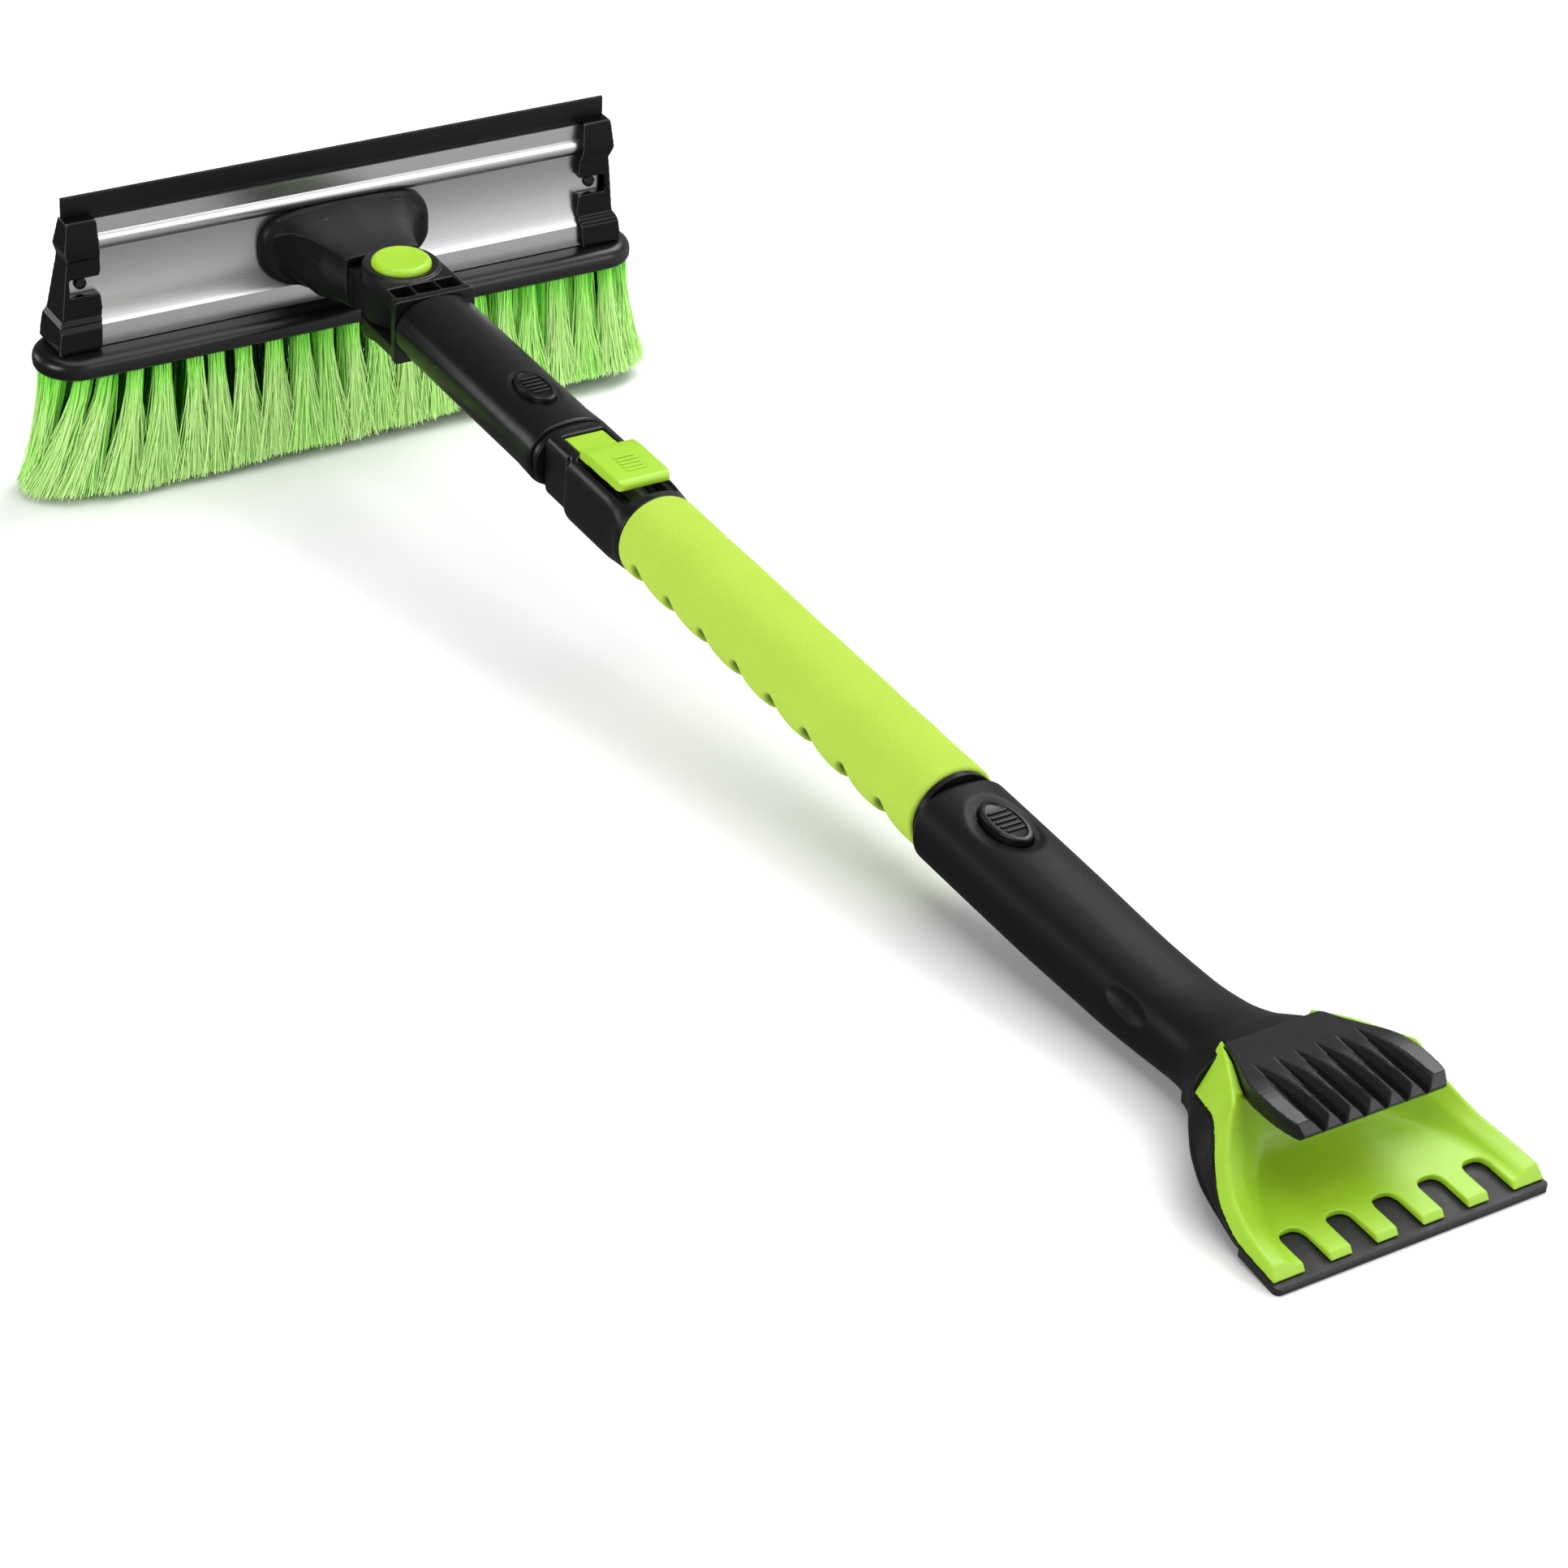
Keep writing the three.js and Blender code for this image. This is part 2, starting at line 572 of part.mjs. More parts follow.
const leverSide = polygon([
  [slot0 + 0.5, 13.2], [LEVER.pinX - 2, 13.2], [LEVER.pinX + 3, 12.9], [LEVER.pinX + 5, 15.5],
  [LEVER.padEnd - 1, 15.5], [LEVER.padEnd, 16.6], [LEVER.padEnd - 0.6, LEVER.padTop - 0.6],
  [LEVER.padEnd - 2, LEVER.padTop], [LEVER.pinX + 8, LEVER.padTop], [LEVER.pinX + 1, 15.4],
  [slot0 + 0.5, 15.4],
]);
const leverHalf = slotHalf - 0.3;
const leverRibs = [0, 1, 2, 3, 4].map((i) =>
  box(196.5 + i * 2.7, 197.3 + i * 2.7, -4.6, 4.6, LEVER.padTop - 1, LEVER.padTop + 0.35));
const leverSpring = { x: 193, seat: slotFloor + 0.3, pocket: 18.6 };
piece("lock_lever", cut(
  join(
    alongY(leverSide, -leverHalf, leverHalf),
    alongY(circle(LEVER.pinX, LEVER.pinZ, LEVER.hubR), -leverHalf, leverHalf, 16),
    ...leverRibs,
  ),
  alongY(circle(LEVER.pinX, LEVER.pinZ, LEVER.pinR + 0.3), -30, 30, 12),
  cylinderZ(leverSpring.x, 0, 4.2, 10, leverSpring.pocket, 12),
), PLASTIC_LIME);
piece("lever_spring",
  spring(leverSpring.x, 0, leverSpring.seat, leverSpring.pocket - 0.3, 3.2, 0.8, 3), STEEL);
const shoe = { top: 13.2 - GAP, bottom: INNER.r + 0.35 };
piece("brake_shoe", cut(
  box(slot0 + 1.2, LEVER.pinX - 3.4, -6, 6, 8.6, shoe.top),
  tubeX(shoe.bottom, 150, 190),
), RUBBER);

// ---------------------------------------------------------------- extension: tube and foam
piece("outer_tube", cut(
  tubeX(OUTER.r, OUTER.x0, OUTER.x1),
  tubeX(OUTER.r - OUTER.wall, OUTER.x0 - 1, OUTER.x1 + 1),
), ALUMINIUM);
piece("foam_grip", cut(
  tubeX(FOAM.r, FOAM.x0, FOAM.x1, 28),
  tubeX(OUTER.r + 0.3, FOAM.x0 - 1, FOAM.x1 + 1),
), FOAM_LIME);

const scraperPlug = { x0: 444.2, x1: SCRAPER.plugEnd, a: 16.8, b: 12.9, z: SCRAPER.z, wall: 2 };
const scraperCollar = tubeX(17.4, 441.6, 444.3, 24);
piece("scraper_coupling",
  coupling(scraperPlug, LATCH.scraperX, OUTER.r, -1, scraperCollar), PLASTIC_BLACK);
piece("scraper_latch_button", latchButton(LATCH.scraperX, latchTop.scraper), PLASTIC_BLACK);
piece("scraper_latch_spring", spring(LATCH.scraperX, 0, -11.4, 9, 3.6, 0.9, 5), STEEL);

// ---------------------------------------------------------------- scraper
// The outline of the scoop, station by station along X: the widest line of the black backing
// (half-width, height), the line where the green moulding meets it, and the green rim's crest.
const flank = curveThrough([
  [622, 28.5, 7], [634, 37.5, 10.5], [646, 45, 10.5], [658, 49.8, 8.5], [670, 52, 5.5],
  [684, 53.6, 2.2], [706, 55, 1.8],
]);
const seam = curveThrough([
  [622, 28, 12], [634, 33.5, 17], [646, 38.5, 20.5], [652, 42, 18.5], [658, 45.5, 13],
  [670, 50.8, 6.6], [684, 53.2, 3], [706, 54.8, 2.6],
]);
const crest = curveThrough([
  [622, 18.2, 29.4], [637, 27.4, 31.8], [652, 36.8, 32], [658, 41.5, 24.5], [664, 45.7, 17.8],
  [676, 50.4, 11], [690, 53.6, 8.6], [706, 54.6, 6],
]);
const underside = curveThrough([[622, -5], [640, -2.6], [664, -1.1], [706, -0.7]]);
// The dish: floor half-width and height, then the top of its steep wall.
const dish = curveThrough([
  [649, 20, 18, 24, 23], [652.5, 24, 11.5, 28, 18], [658, 29, 7, 33, 12], [664, 35, 5.4, 39, 9.5],
  [676, 42, 4.8, 45.5, 7.6], [690, 45.4, 4.7, 48.6, 6.5], [706, 47, 4.6, 50, 5.8],
]);

// A loft along X from half-sections, each a list of (y, z) from the middle outwards and round.
function mirroredLoft(stations, halfSection) {
  return loft(stations.map((x) => {
    const half = halfSection(x);
    const other = half.slice().reverse().map(([y, z]) => [-y, z]);
    return [...half, ...other].map(([y, z]) => new THREE.Vector3(x, y, z));
  }));
}

const floorThickness = 3.2;
function backingTray(grow) {
  const stations = [622, 628, 634, 640, 646, 652, 658, 664, 670, 677, 683];
  stations[0] -= grow;
  stations[stations.length - 1] += grow;
  return mirroredLoft(stations, (x) => {
    const [w, zw] = flank(x);
    const [wg, zg] = seam(x);
    const z = underside(x)[0] - grow;
    const [floorHalf, floorZ] = dish(x);
    const inner = Math.min(floorHalf + 1, wg - 4);
    return [
      [1, z], [w - 8, z], [w - 1.2 + grow, (z + zw) / 2], [w + grow, zw], [wg + 0.2, zg + grow],
      [wg - 2.6, zg + grow], [inner, floorZ - floorThickness + grow],
      [1, floorZ - floorThickness + grow],
    ];
  });
}

const NECK = [
  [SCRAPER.x0, 19.2, 14.4, -16, SCRAPER.n],
  [446.4, 20, 15.2, -16.8, SCRAPER.n],
  [505, 19.6, 15.2, -16.8, SCRAPER.n],
  [550, 18.2, 15.4, -16.2, SCRAPER.n],
  [578, 17.9, 16.4, -13.8, SCRAPER.n],
  [596, 18.8, 18.8, -10.8, SCRAPER.n],
  [608, 21.4, 22, -8.4, 2.4],
  [617, 25.4, 26, -6.4, 2.5],
  [625, 30.4, 29.6, -4.6, 2.6],
];
const boss = (grow) => box(620, 646 + grow, -17 - grow, 17 + grow, -2, 26.6 + grow);

function chipperPlate(grow) {
  const side = polygon([
    [624.6 - grow, 27.2 - grow], [646, 28.4 - grow], [656, 29.8 - grow], [677, 31.6 - grow],
    [678.4 + grow, 33.8], [675 + grow, 37.4 + grow], [655, 36.4 + grow], [641, 33.6 + grow],
    [624.6 - grow, 30.2 + grow],
  ]);
  const halfPlan = [[624.6 - grow, 20], [641, 25.6], [655, 30], [680, 28.8]];
  const plan = polygon([
    ...halfPlan.map(([x, y]) => [x, -y - grow]),
    ...halfPlan.reverse().map(([x, y]) => [x, y + grow]),
  ]);
  return alongY(side, -32, 32).intersect(alongZ(plan, 20, 45));
}

const socket = loftSections([
  [SCRAPER.x0 - 10, 17.2, 12.5, -14.1, SCRAPER.n],
  [535, 17.2, 12.5, -14.1, SCRAPER.n],
  [576, 14.4, 12.6, -10, SCRAPER.n],
  [600, 14.4, 15, -6.4, SCRAPER.n],
], 0, 20);
piece("scraper_body", cut(
  join(loftSections(NECK), backingTray(0), boss(0)),
  socket,
  latchHole(LATCH.scraperX, 0, 30),
  chipperPlate(GAP),
  box(674.6, 690, -50.4, 50.4, 0.6, 2.4),
), PLASTIC_MATTE);

const envelopeStations = [622.3, 628, 634, 640, 646, 652, 658, 664, 670, 677, 684, 694, COMB.front];
const scoopEnvelope = mirroredLoft(envelopeStations, (x) => {
  const [wg, zg] = seam(x);
  const [yc, zc] = crest(x);
  const middle = Math.min(26.9, zc - 0.5);
  return [[1, 1], [wg - 4, 1], [wg, zg], [yc, zc], [17, middle], [1, middle]];
});
const dishCavity = mirroredLoft([649, 652.5, 658, 664, 670, 677, 684, 694, 706], (x) => {
  const [yf, zf, yt, zt] = dish(x);
  const [yc, zc] = crest(x);
  return [[1, zf], [yf, zf], [yt, zt], [yc - 0.8, zc], [yc - 0.8, 50], [1, 50]];
});
const notchR = COMB.width / 2;
const notches = Array.from({ length: COMB.notches }, (_, i) => {
  const y = (i - (COMB.notches - 1) / 2) * COMB.pitch;
  const outline = roundedRect(COMB.top, COMB.front + 20, y - notchR, y + notchR, notchR - 0.01);
  return alongZ(outline, 2, 20, 6);
});
piece("scraper_scoop", cut(
  scoopEnvelope,
  dishCavity,
  backingTray(GAP),
  boss(GAP),
  loftSections(NECK, GAP),
  chipperPlate(GAP),
  box(683 - GAP, 720, -60, 60, -5, BLADE.top + GAP),
  box(674.6, 690, -50.4, 50.4, 0, 2.4),
  ...notches,
), PLASTIC_LIME);

const bladeSide = polygon([
  [BLADE.rear, BLADE.bottom - 0.8], [BLADE.edge - 4, BLADE.bottom - 0.4],
  [BLADE.edge, BLADE.bottom], [BLADE.edge, BLADE.top - 0.6], [BLADE.edge - 1, BLADE.top],
  [BLADE.rear, BLADE.top],
]);
const bladePlan = polygon([
  [BLADE.rear, -53.4], [BLADE.edge - 1.5, -BLADE.half], [BLADE.edge, -BLADE.half + 1.5],
  [BLADE.edge, BLADE.half - 1.5], [BLADE.edge - 1.5, BLADE.half], [BLADE.rear, 53.4],
]);
piece("scraper_blade", join(
  alongY(bladeSide, -56, 56).intersect(alongZ(bladePlan, -5, 10)),
  box(675, 684, -50, 50, 1, 2),
), RUBBER);

const groovePitch = 8.3;
const grooves = [-2.5, -1.5, -0.5, 0.5, 1.5, 2.5].map((i) => {
  const y = i * groovePitch;
  const ring = (x, half, low, high) => [
    new THREE.Vector3(x, y, low), new THREE.Vector3(x, y + half, high),
    new THREE.Vector3(x, y - half, high),
  ];
  return loft([ring(641, 0.15, 33.4, 33.9), ring(657, 2.9, 32.6, 37.2), ring(682, 4, 32.9, 38.6)]);
});
piece("ice_chipper", cut(chipperPlate(0), ...grooves), PLASTIC_MATTE);

// ---------------------------------------------------------------- stand the tool on its base
const assembly = new THREE.Group();
tool.rotation.y = TILT;
assembly.add(tool);
assembly.updateMatrixWorld(true);
const bounds = new THREE.Box3().setFromObject(assembly, true);
tool.position.set(-(bounds.min.x + bounds.max.x) / 2, 0, -bounds.min.z);

export default assembly;
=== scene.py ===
"""Snow brush scraper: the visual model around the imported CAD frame.

Shapes are drawn in millimetres in the tool's own frame (origin on the pivot axis, +X along the
handle towards the scraper, +Y along the brush head, +Z out of the top of the handle) and placed
in the row frame by the head's hinge, which the record gives.
"""
import json
import random
from math import atan2, copysign, cos, pi, radians, sin, sqrt

import bmesh
import bpy
import numpy as np
from mathutils import Matrix, Vector


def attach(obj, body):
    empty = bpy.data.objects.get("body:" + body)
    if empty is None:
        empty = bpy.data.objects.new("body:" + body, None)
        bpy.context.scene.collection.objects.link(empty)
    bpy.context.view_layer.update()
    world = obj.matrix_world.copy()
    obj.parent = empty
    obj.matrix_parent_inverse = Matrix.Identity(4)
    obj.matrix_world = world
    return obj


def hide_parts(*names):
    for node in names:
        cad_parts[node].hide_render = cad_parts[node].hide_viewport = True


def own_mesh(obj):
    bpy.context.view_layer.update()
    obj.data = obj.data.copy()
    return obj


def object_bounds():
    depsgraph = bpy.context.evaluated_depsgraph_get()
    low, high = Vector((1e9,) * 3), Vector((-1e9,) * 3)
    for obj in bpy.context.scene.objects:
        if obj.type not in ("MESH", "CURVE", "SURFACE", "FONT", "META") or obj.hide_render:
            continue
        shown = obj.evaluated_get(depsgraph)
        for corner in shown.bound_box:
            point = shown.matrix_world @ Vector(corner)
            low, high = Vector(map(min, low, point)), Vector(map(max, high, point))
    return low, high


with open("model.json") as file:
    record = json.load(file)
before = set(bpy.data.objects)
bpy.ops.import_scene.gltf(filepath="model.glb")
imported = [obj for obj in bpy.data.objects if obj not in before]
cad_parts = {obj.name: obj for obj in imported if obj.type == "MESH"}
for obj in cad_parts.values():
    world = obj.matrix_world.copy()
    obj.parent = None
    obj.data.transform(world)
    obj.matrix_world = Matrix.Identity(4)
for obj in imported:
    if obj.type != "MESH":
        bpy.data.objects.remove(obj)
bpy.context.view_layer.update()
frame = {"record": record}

MM = 0.001
GAP = 0.4
SCENE = bpy.context.scene
JOINTS = {joint["name"]: joint for joint in frame["record"]["behaviour"]["joints"]}
SWIVEL = JOINTS["head_swivel"]
UP = Vector(SWIVEL["axis"]).normalized()
TILT = atan2(UP.x, UP.z)
TOOL = Matrix.Translation(Vector(SWIVEL["pos_m"])) @ Matrix.Rotation(TILT, 4, "Y")


# ---- curves and outlines
def curve_through(rows):
    """A smooth curve without overshoot through rows of [x, value, ...]."""
    rows = np.array(rows, float)
    xs, ys = rows[:, 0], rows[:, 1:]
    slopes = np.diff(ys, axis=0) / np.diff(xs)[:, None]
    tangents = np.zeros_like(ys)
    tangents[0], tangents[-1] = slopes[0], slopes[-1]
    before, after = slopes[:-1], slopes[1:]
    agree = before * after > 0
    total = np.where(agree, before + after, 1.0)
    tangents[1:-1] = np.where(agree, 2 * before * after / total, 0.0)

    def value(x):
        x = min(max(x, xs[0]), xs[-1])
        i = int(min(max(np.searchsorted(xs, x) - 1, 0), len(xs) - 2))
        h = xs[i + 1] - xs[i]
        t = (x - xs[i]) / h
        a, b = ys[i], ys[i + 1]
        ma, mb = tangents[i] * h, tangents[i + 1] * h
        return (
            (2 * t**3 - 3 * t**2 + 1) * a
            + (t**3 - 2 * t**2 + t) * ma
            + (3 * t**2 - 2 * t**3) * b
            + (t**3 - t**2) * mb
        )

    return value


def steps(lo, hi, pitch):
    return list(np.linspace(lo, hi, max(2, int(round(abs(hi - lo) / pitch)) + 1)))


def superellipse(a, b, n, z=0.0, count=72):
    outline = []
    for i in range(count):
        t = 2 * pi * i / count
        c, s = cos(t), sin(t)
        y = copysign(a * abs(c) ** (2 / n), c)
        outline.append((y, z + copysign(b * abs(s) ** (2 / n), s)))
    return outline


def oval(u, v, a, b, count=56):
    return [(u + p, v + q) for p, q in superellipse(a, b, 2, 0, count)]


def bezier(a, b, c, count):
    points = []
    for i in range(count + 1):
        t = i / count
        points.append(
            tuple((1 - t) ** 2 * p + 2 * t * (1 - t) * q + t * t * r for p, q, r in zip(a, b, c))
        )
    return points


def rounded(points, radius, count=4):
    """A closed outline with each corner cut back by radius and rounded."""
    radii = [radius] * len(points) if isinstance(radius, (int, float)) else radius
    outline = []
    for i, corner in enumerate(points):
        here = Vector(corner)
        legs = []
        for other in (points[i - 1], points[(i + 1) % len(points)]):
            leg = Vector(other) - here
            legs.append(here + leg.normalized() * min(radii[i], 0.46 * leg.length))
        outline += bezier(legs[0], here, legs[1], count)
    return outline


def rectangle(u0, u1, v0, v1, radius=0.0, count=6):
    corners = [(u0, v0), (u1, v0), (u1, v1), (u0, v1)]
    return rounded(corners, radius, count) if radius else corners


# ---- solids, in millimetres
def add_object(name, data):
    obj = bpy.data.objects.new(name, data)
    SCENE.collection.objects.link(obj)
    return obj


def new_solid(vertices, faces):
    mesh = bpy.data.meshes.new("solid")
    mesh.from_pydata([tuple(v) for v in vertices], [], faces)
    work = bmesh.new()
    work.from_mesh(mesh)
    bmesh.ops.remove_doubles(work, verts=work.verts, dist=1e-5)
    bmesh.ops.recalc_face_normals(work, faces=work.faces)
    work.to_mesh(mesh)
    work.free()
    return add_object("solid", mesh)


def loft(rings):
    """A closed solid through rings of points, each ring with the same number of points."""
    count = len(rings[0])
    vertices = [p for ring in rings for p in ring]
    faces = [tuple(range(count)), tuple((len(rings) - 1) * count + j for j in range(count))]
    for i in range(len(rings) - 1):
        for j in range(count):
            k = (j + 1) % count
            faces.append((i * count + j, i * count + k, (i + 1) * count + k, (i + 1) * count + j))
    return new_solid(vertices, faces)


PLACE = {"x": lambda a, b, t: (t, a, b), "y": lambda a, b, t: (a, t, b), "z": lambda a, b, t: (a, b, t)}


def prism(outline, axis, lo, hi):
    return loft([[PLACE[axis](a, b, t) for a, b in outline] for t in (lo, hi)])


def ends_rounded(lo, hi, radius, count=5):
    """(position, inset) rows for a bar whose two end edges are rounded."""
    rows = []
    for k in range(count + 1):
        angle = pi / 2 * k / count
        rows.append((lo + radius * (1 - cos(angle)), radius * (1 - sin(angle))))
    return rows + [(hi - (t - lo), inset) for t, inset in reversed(rows)]


def soft_prism(outline_at, axis, lo, hi, edge, count=4):
    """A prism whose two end faces have rounded edges: outline_at gives the outline pulled in."""
    rows = ends_rounded(lo, hi, edge, count)
    return loft([[PLACE[axis](a, b, t) for a, b in outline_at(inset)] for t, inset in rows])


def cuboid(x0, x1, y0, y1, z0, z1):
    return prism(rectangle(x0, x1, y0, y1), "z", z0, z1)


def rod(axis, u, v, r, lo, hi, count=40):
    return prism(oval(u, v, r, r, count), axis, lo, hi)


def loft_rows(rows, outline):
    """A loft along X through (x, inset) rows: outline(x, inset) gives the ring's (y, z) points."""
    return loft([[(x, y, z) for y, z in outline(x, inset)] for x, inset in rows])


def loft_x(sections, count):
    """A loft along X through [x, half-width, top, bottom, exponent]."""
    rings = []
    for x, half, top, low, n in sections:
        ring = superellipse(half, (top - low) / 2, n, (top + low) / 2, count)
        rings.append([(x, y, z) for y, z in ring])
    return loft(rings)


def half_loft(xs, half_section, radii, count=5):
    """A loft along X from half outlines, rounded at their corners and mirrored across y = 0."""
    both = radii + radii[::-1]
    rings = []
    for x in xs:
        half = half_section(x)
        whole = half + [(-y, z) for y, z in half[::-1]]
        rings.append([(x, y, z) for y, z in rounded(whole, both, count)])
    return loft(rings)


def revolve(profile, count=64):
    """A solid turned about the Z axis from (radius, z) points."""
    turns = [2 * pi * i / count for i in range(count)]
    rings = []
    for r, z in profile:
        r = max(r, 1e-3)
        rings.append([(r * cos(turn), r * sin(turn), z) for turn in turns])
    return loft(rings)


def ellipsoid(x, y, z, a, b, c, count=32):
    rows = count // 2
    angles = [pi * (k / rows - 0.5) for k in range(rows + 1)]
    ball = revolve([(cos(angle), sin(angle)) for angle in angles], count)
    ball.data.transform(Matrix.Translation((x, y, z)) @ Matrix.Diagonal((a, b, c, 1)))
    return ball


def bake(obj):
    """Applies an object's modifiers."""
    bpy.context.view_layer.update()
    evaluated = obj.evaluated_get(bpy.context.evaluated_depsgraph_get())
    mesh = bpy.data.meshes.new_from_object(evaluated)
    old = obj.data
    obj.modifiers.clear()
    obj.data = mesh
    bpy.data.meshes.remove(old)
    return obj


def drop(obj):
    mesh = obj.data
    bpy.data.objects.remove(obj)
    bpy.data.meshes.remove(mesh)


def boolean(whole, operation, tools):
    for tool in tools:
        change = whole.modifiers.new("boolean", "BOOLEAN")
        change.operation = operation
        change.object = tool
        change.solver = "EXACT"
        bake(whole)
        drop(tool)
    return whole


def cut(whole, *tools):
    return boolean(whole, "DIFFERENCE", tools)


def fuse(whole, *tools):
    return boolean(whole, "UNION", tools)


def common(whole, *tools):
    return boolean(whole, "INTERSECT", tools)


def soften(obj, voxel, passes, keep):
    """Rebuilds a moulded shape with soft edges about a voxel wide, keeping a share of its faces."""
    change = obj.modifiers.new("voxels", "REMESH")
    change.mode = "VOXEL"
    change.voxel_size = voxel
    change.use_smooth_shade = True
    change = obj.modifiers.new("smooth", "SMOOTH")
    change.factor = 0.5
    change.iterations = passes
    bake(obj)
    change = obj.modifiers.new("thin", "DECIMATE")
    change.ratio = keep
    return bake(obj)


def bevel(obj, width):
    change = obj.modifiers.new("bevel", "BEVEL")
    change.width = width
    change.segments = 2
    change.limit_method = "ANGLE"
    change.angle_limit = radians(32)
    return bake(obj)


def move_points(obj, change):
    """Moves the points of a mesh: change gives new positions for an array of old ones."""
    co = np.empty(len(obj.data.vertices) * 3)
    obj.data.vertices.foreach_get("co", co)
    co = change(co.reshape(-1, 3))
    obj.data.vertices.foreach_set("co", co.ravel())
    obj.data.update()
    return obj


def mirrored(obj):
    """A copy on the other side of the plane y = 0."""
    copy = add_object("solid", obj.data.copy())
    copy.data.transform(Matrix.Diagonal((1, -1, 1, 1)))
    copy.data.flip_normals()
    return copy


def smooth_step(lo, hi, x):
    t = np.clip((x - lo) / (hi - lo), 0, 1)
    return t * t * (3 - 2 * t)


# ---- materials
def shading(name):
    made = bpy.data.materials.new(name)
    made.use_nodes = True
    return made, made.node_tree, made.node_tree.nodes["Principled BSDF"]


def node(tree, kind, output, inputs=None, **settings):
    """Adds a node, gives its sockets values or links, and returns one of its outputs."""
    made = tree.nodes.new("ShaderNode" + kind)
    for name, setting in settings.items():
        setattr(made, name, setting)
    for socket, value in (inputs or {}).items():
        if isinstance(value, bpy.types.NodeSocket):
            tree.links.new(value, made.inputs[socket])
        else:
            made.inputs[socket].default_value = value
    return made.outputs[output]


def coordinates(tree, stretch=(1, 1, 1)):
    """The object's coordinates turned into the tool's frame, so grain follows the tool."""
    place = {"Vector": node(tree, "TexCoord", "Object"), "Rotation": (0, TILT, 0)}
    place["Scale"] = [1 / s for s in stretch]
    return node(tree, "Mapping", "Vector", place, vector_type="TEXTURE")


def noise(tree, vector, scale, detail=3, rough=0.55):
    inputs = {"Vector": vector, "Scale": scale, "Detail": detail, "Roughness": rough}
    return node(tree, "TexNoise", "Fac", inputs)


def spread(tree, value, lo, hi, start=0.3, end=0.7):
    inputs = {"Value": value, "From Min": start, "From Max": end, "To Min": lo, "To Max": hi}
    return node(tree, "MapRange", "Result", inputs)


def mixed(tree, factor, a, b, blend="MIX"):
    inputs = {"Factor": factor, "A": a, "B": b}
    return node(tree, "Mix", "Result", inputs, data_type="RGBA", blend_type=blend)


def ramp(tree, value, stops):
    made = tree.nodes.new("ShaderNodeValToRGB")
    elements = made.color_ramp.elements
    while len(elements) < len(stops):
        elements.new(0.5)
    for element, (at, colour) in zip(elements, stops):
        element.position = at
        element.color = (*colour, 1)
    tree.links.new(value, made.inputs["Fac"])
    return made.outputs["Color"]


def surface(tree, shader, colour, roughness, specular=0.5, bumps=()):
    """Wires a shader; bumps are (height, depth in metres), stacked in order."""
    tree.links.new(colour, shader.inputs["Base Color"])
    tree.links.new(roughness, shader.inputs["Roughness"])
    shader.inputs["Specular IOR Level"].default_value = specular
    below = {}
    for height, depth in bumps:
        inputs = {"Strength": 1.0, "Distance": depth, "Height": height, **below}
        below = {"Normal": node(tree, "Bump", "Normal", inputs)}
    if below:
        tree.links.new(below["Normal"], shader.inputs["Normal"])


def plastic(
    name, colour, rough, vary=0.1, rough_vary=0.03, grain=1500, depth=4e-5, edge_wear_and_highlight=None, specular=0.35
):
    """Moulded plastic or rubber: mottled colour, uneven gloss, fine grain and paler edges (painted edge
    highlight and edge wear).
    """
    made, tree, shader = shading(name)
    vector = coordinates(tree)
    broad = noise(tree, vector, 35, 4)
    fine = noise(tree, vector, grain, 2)
    darker = [c * (1 - vary) for c in colour]
    lighter = [min(1.0, c * (1 + vary)) for c in colour]
    paint = ramp(tree, broad, [(0.3, darker), (0.7, lighter)])
    # Paler convex edges found by pointiness: a painted edge highlight, with some edge wear.
    if edge_wear_and_highlight:
        edges = node(tree, "NewGeometry", "Pointiness")
        paint = mixed(tree, spread(tree, edges, 0.0, 0.7, 0.525, 0.6), paint, (*edge_wear_and_highlight, 1))
    gloss = spread(tree, noise(tree, vector, 160, 5), rough - rough_vary, rough + rough_vary)
    surface(tree, shader, paint, gloss, specular, [(fine, depth), (broad, depth * 2)])
    return made


def brushed(name, colour, rough, along, scale=2600):
    """Drawn metal: hair lines along one axis of the tool."""
    made, tree, shader = shading(name)
    stretch = [0.006 if axis == along else 1.0 for axis in "xyz"]
    lines = noise(tree, coordinates(tree, stretch), scale, 5, 0.7)
    clouds = noise(tree, coordinates(tree), 22, 4)
    shades = [[c * k for c in colour] for k in (0.94, 1.05)]
    paint = ramp(tree, lines, [(0.32, shades[0]), (0.68, shades[1])])
    clouded = spread(tree, clouds, rough - 0.006, rough + 0.008)
    parts = {0: spread(tree, lines, -0.02, 0.03), 1: clouded}
    gloss = node(tree, "Math", "Value", parts, operation="ADD")
    shader.inputs["Metallic"].default_value = 1.0
    surface(tree, shader, paint, gloss, bumps=[(lines, 7e-7)])
    return made


def foam_material():
    """Foam rubber: speckled and wrinkled, with shade painted into the finger recesses."""
    made, tree, shader = shading("foam")
    vector = coordinates(tree)
    skin = noise(tree, vector, 900, 4, 0.65)
    wrinkles = noise(tree, coordinates(tree, (0.5, 1, 1)), 260, 3, 0.6)
    clouds = noise(tree, vector, 30, 5)
    paint = ramp(tree, clouds, [(0.25, (0.40, 0.585, 0.062)), (0.75, (0.43, 0.62, 0.072))])
    speckle = ramp(tree, skin, [(0.36, (0.84, 0.86, 0.76)), (0.56, (1.0, 1.0, 1.0))])
    grain = mixed(tree, 0.4, paint, speckle, "MULTIPLY")
    recess_shade = node(tree, "Attribute", "Fac", attribute_name="recess_shade")
    # Painted shade: a near-black green inside the finger recesses.
    shade = mixed(tree, recess_shade, grain, (0.004, 0.012, 0.001, 1))
    gloss = spread(tree, skin, 0.82, 0.96)
    surface(tree, shader, shade, gloss, 0.2, [(skin, 9e-5), (wrinkles, 1.6e-4)])
    return made


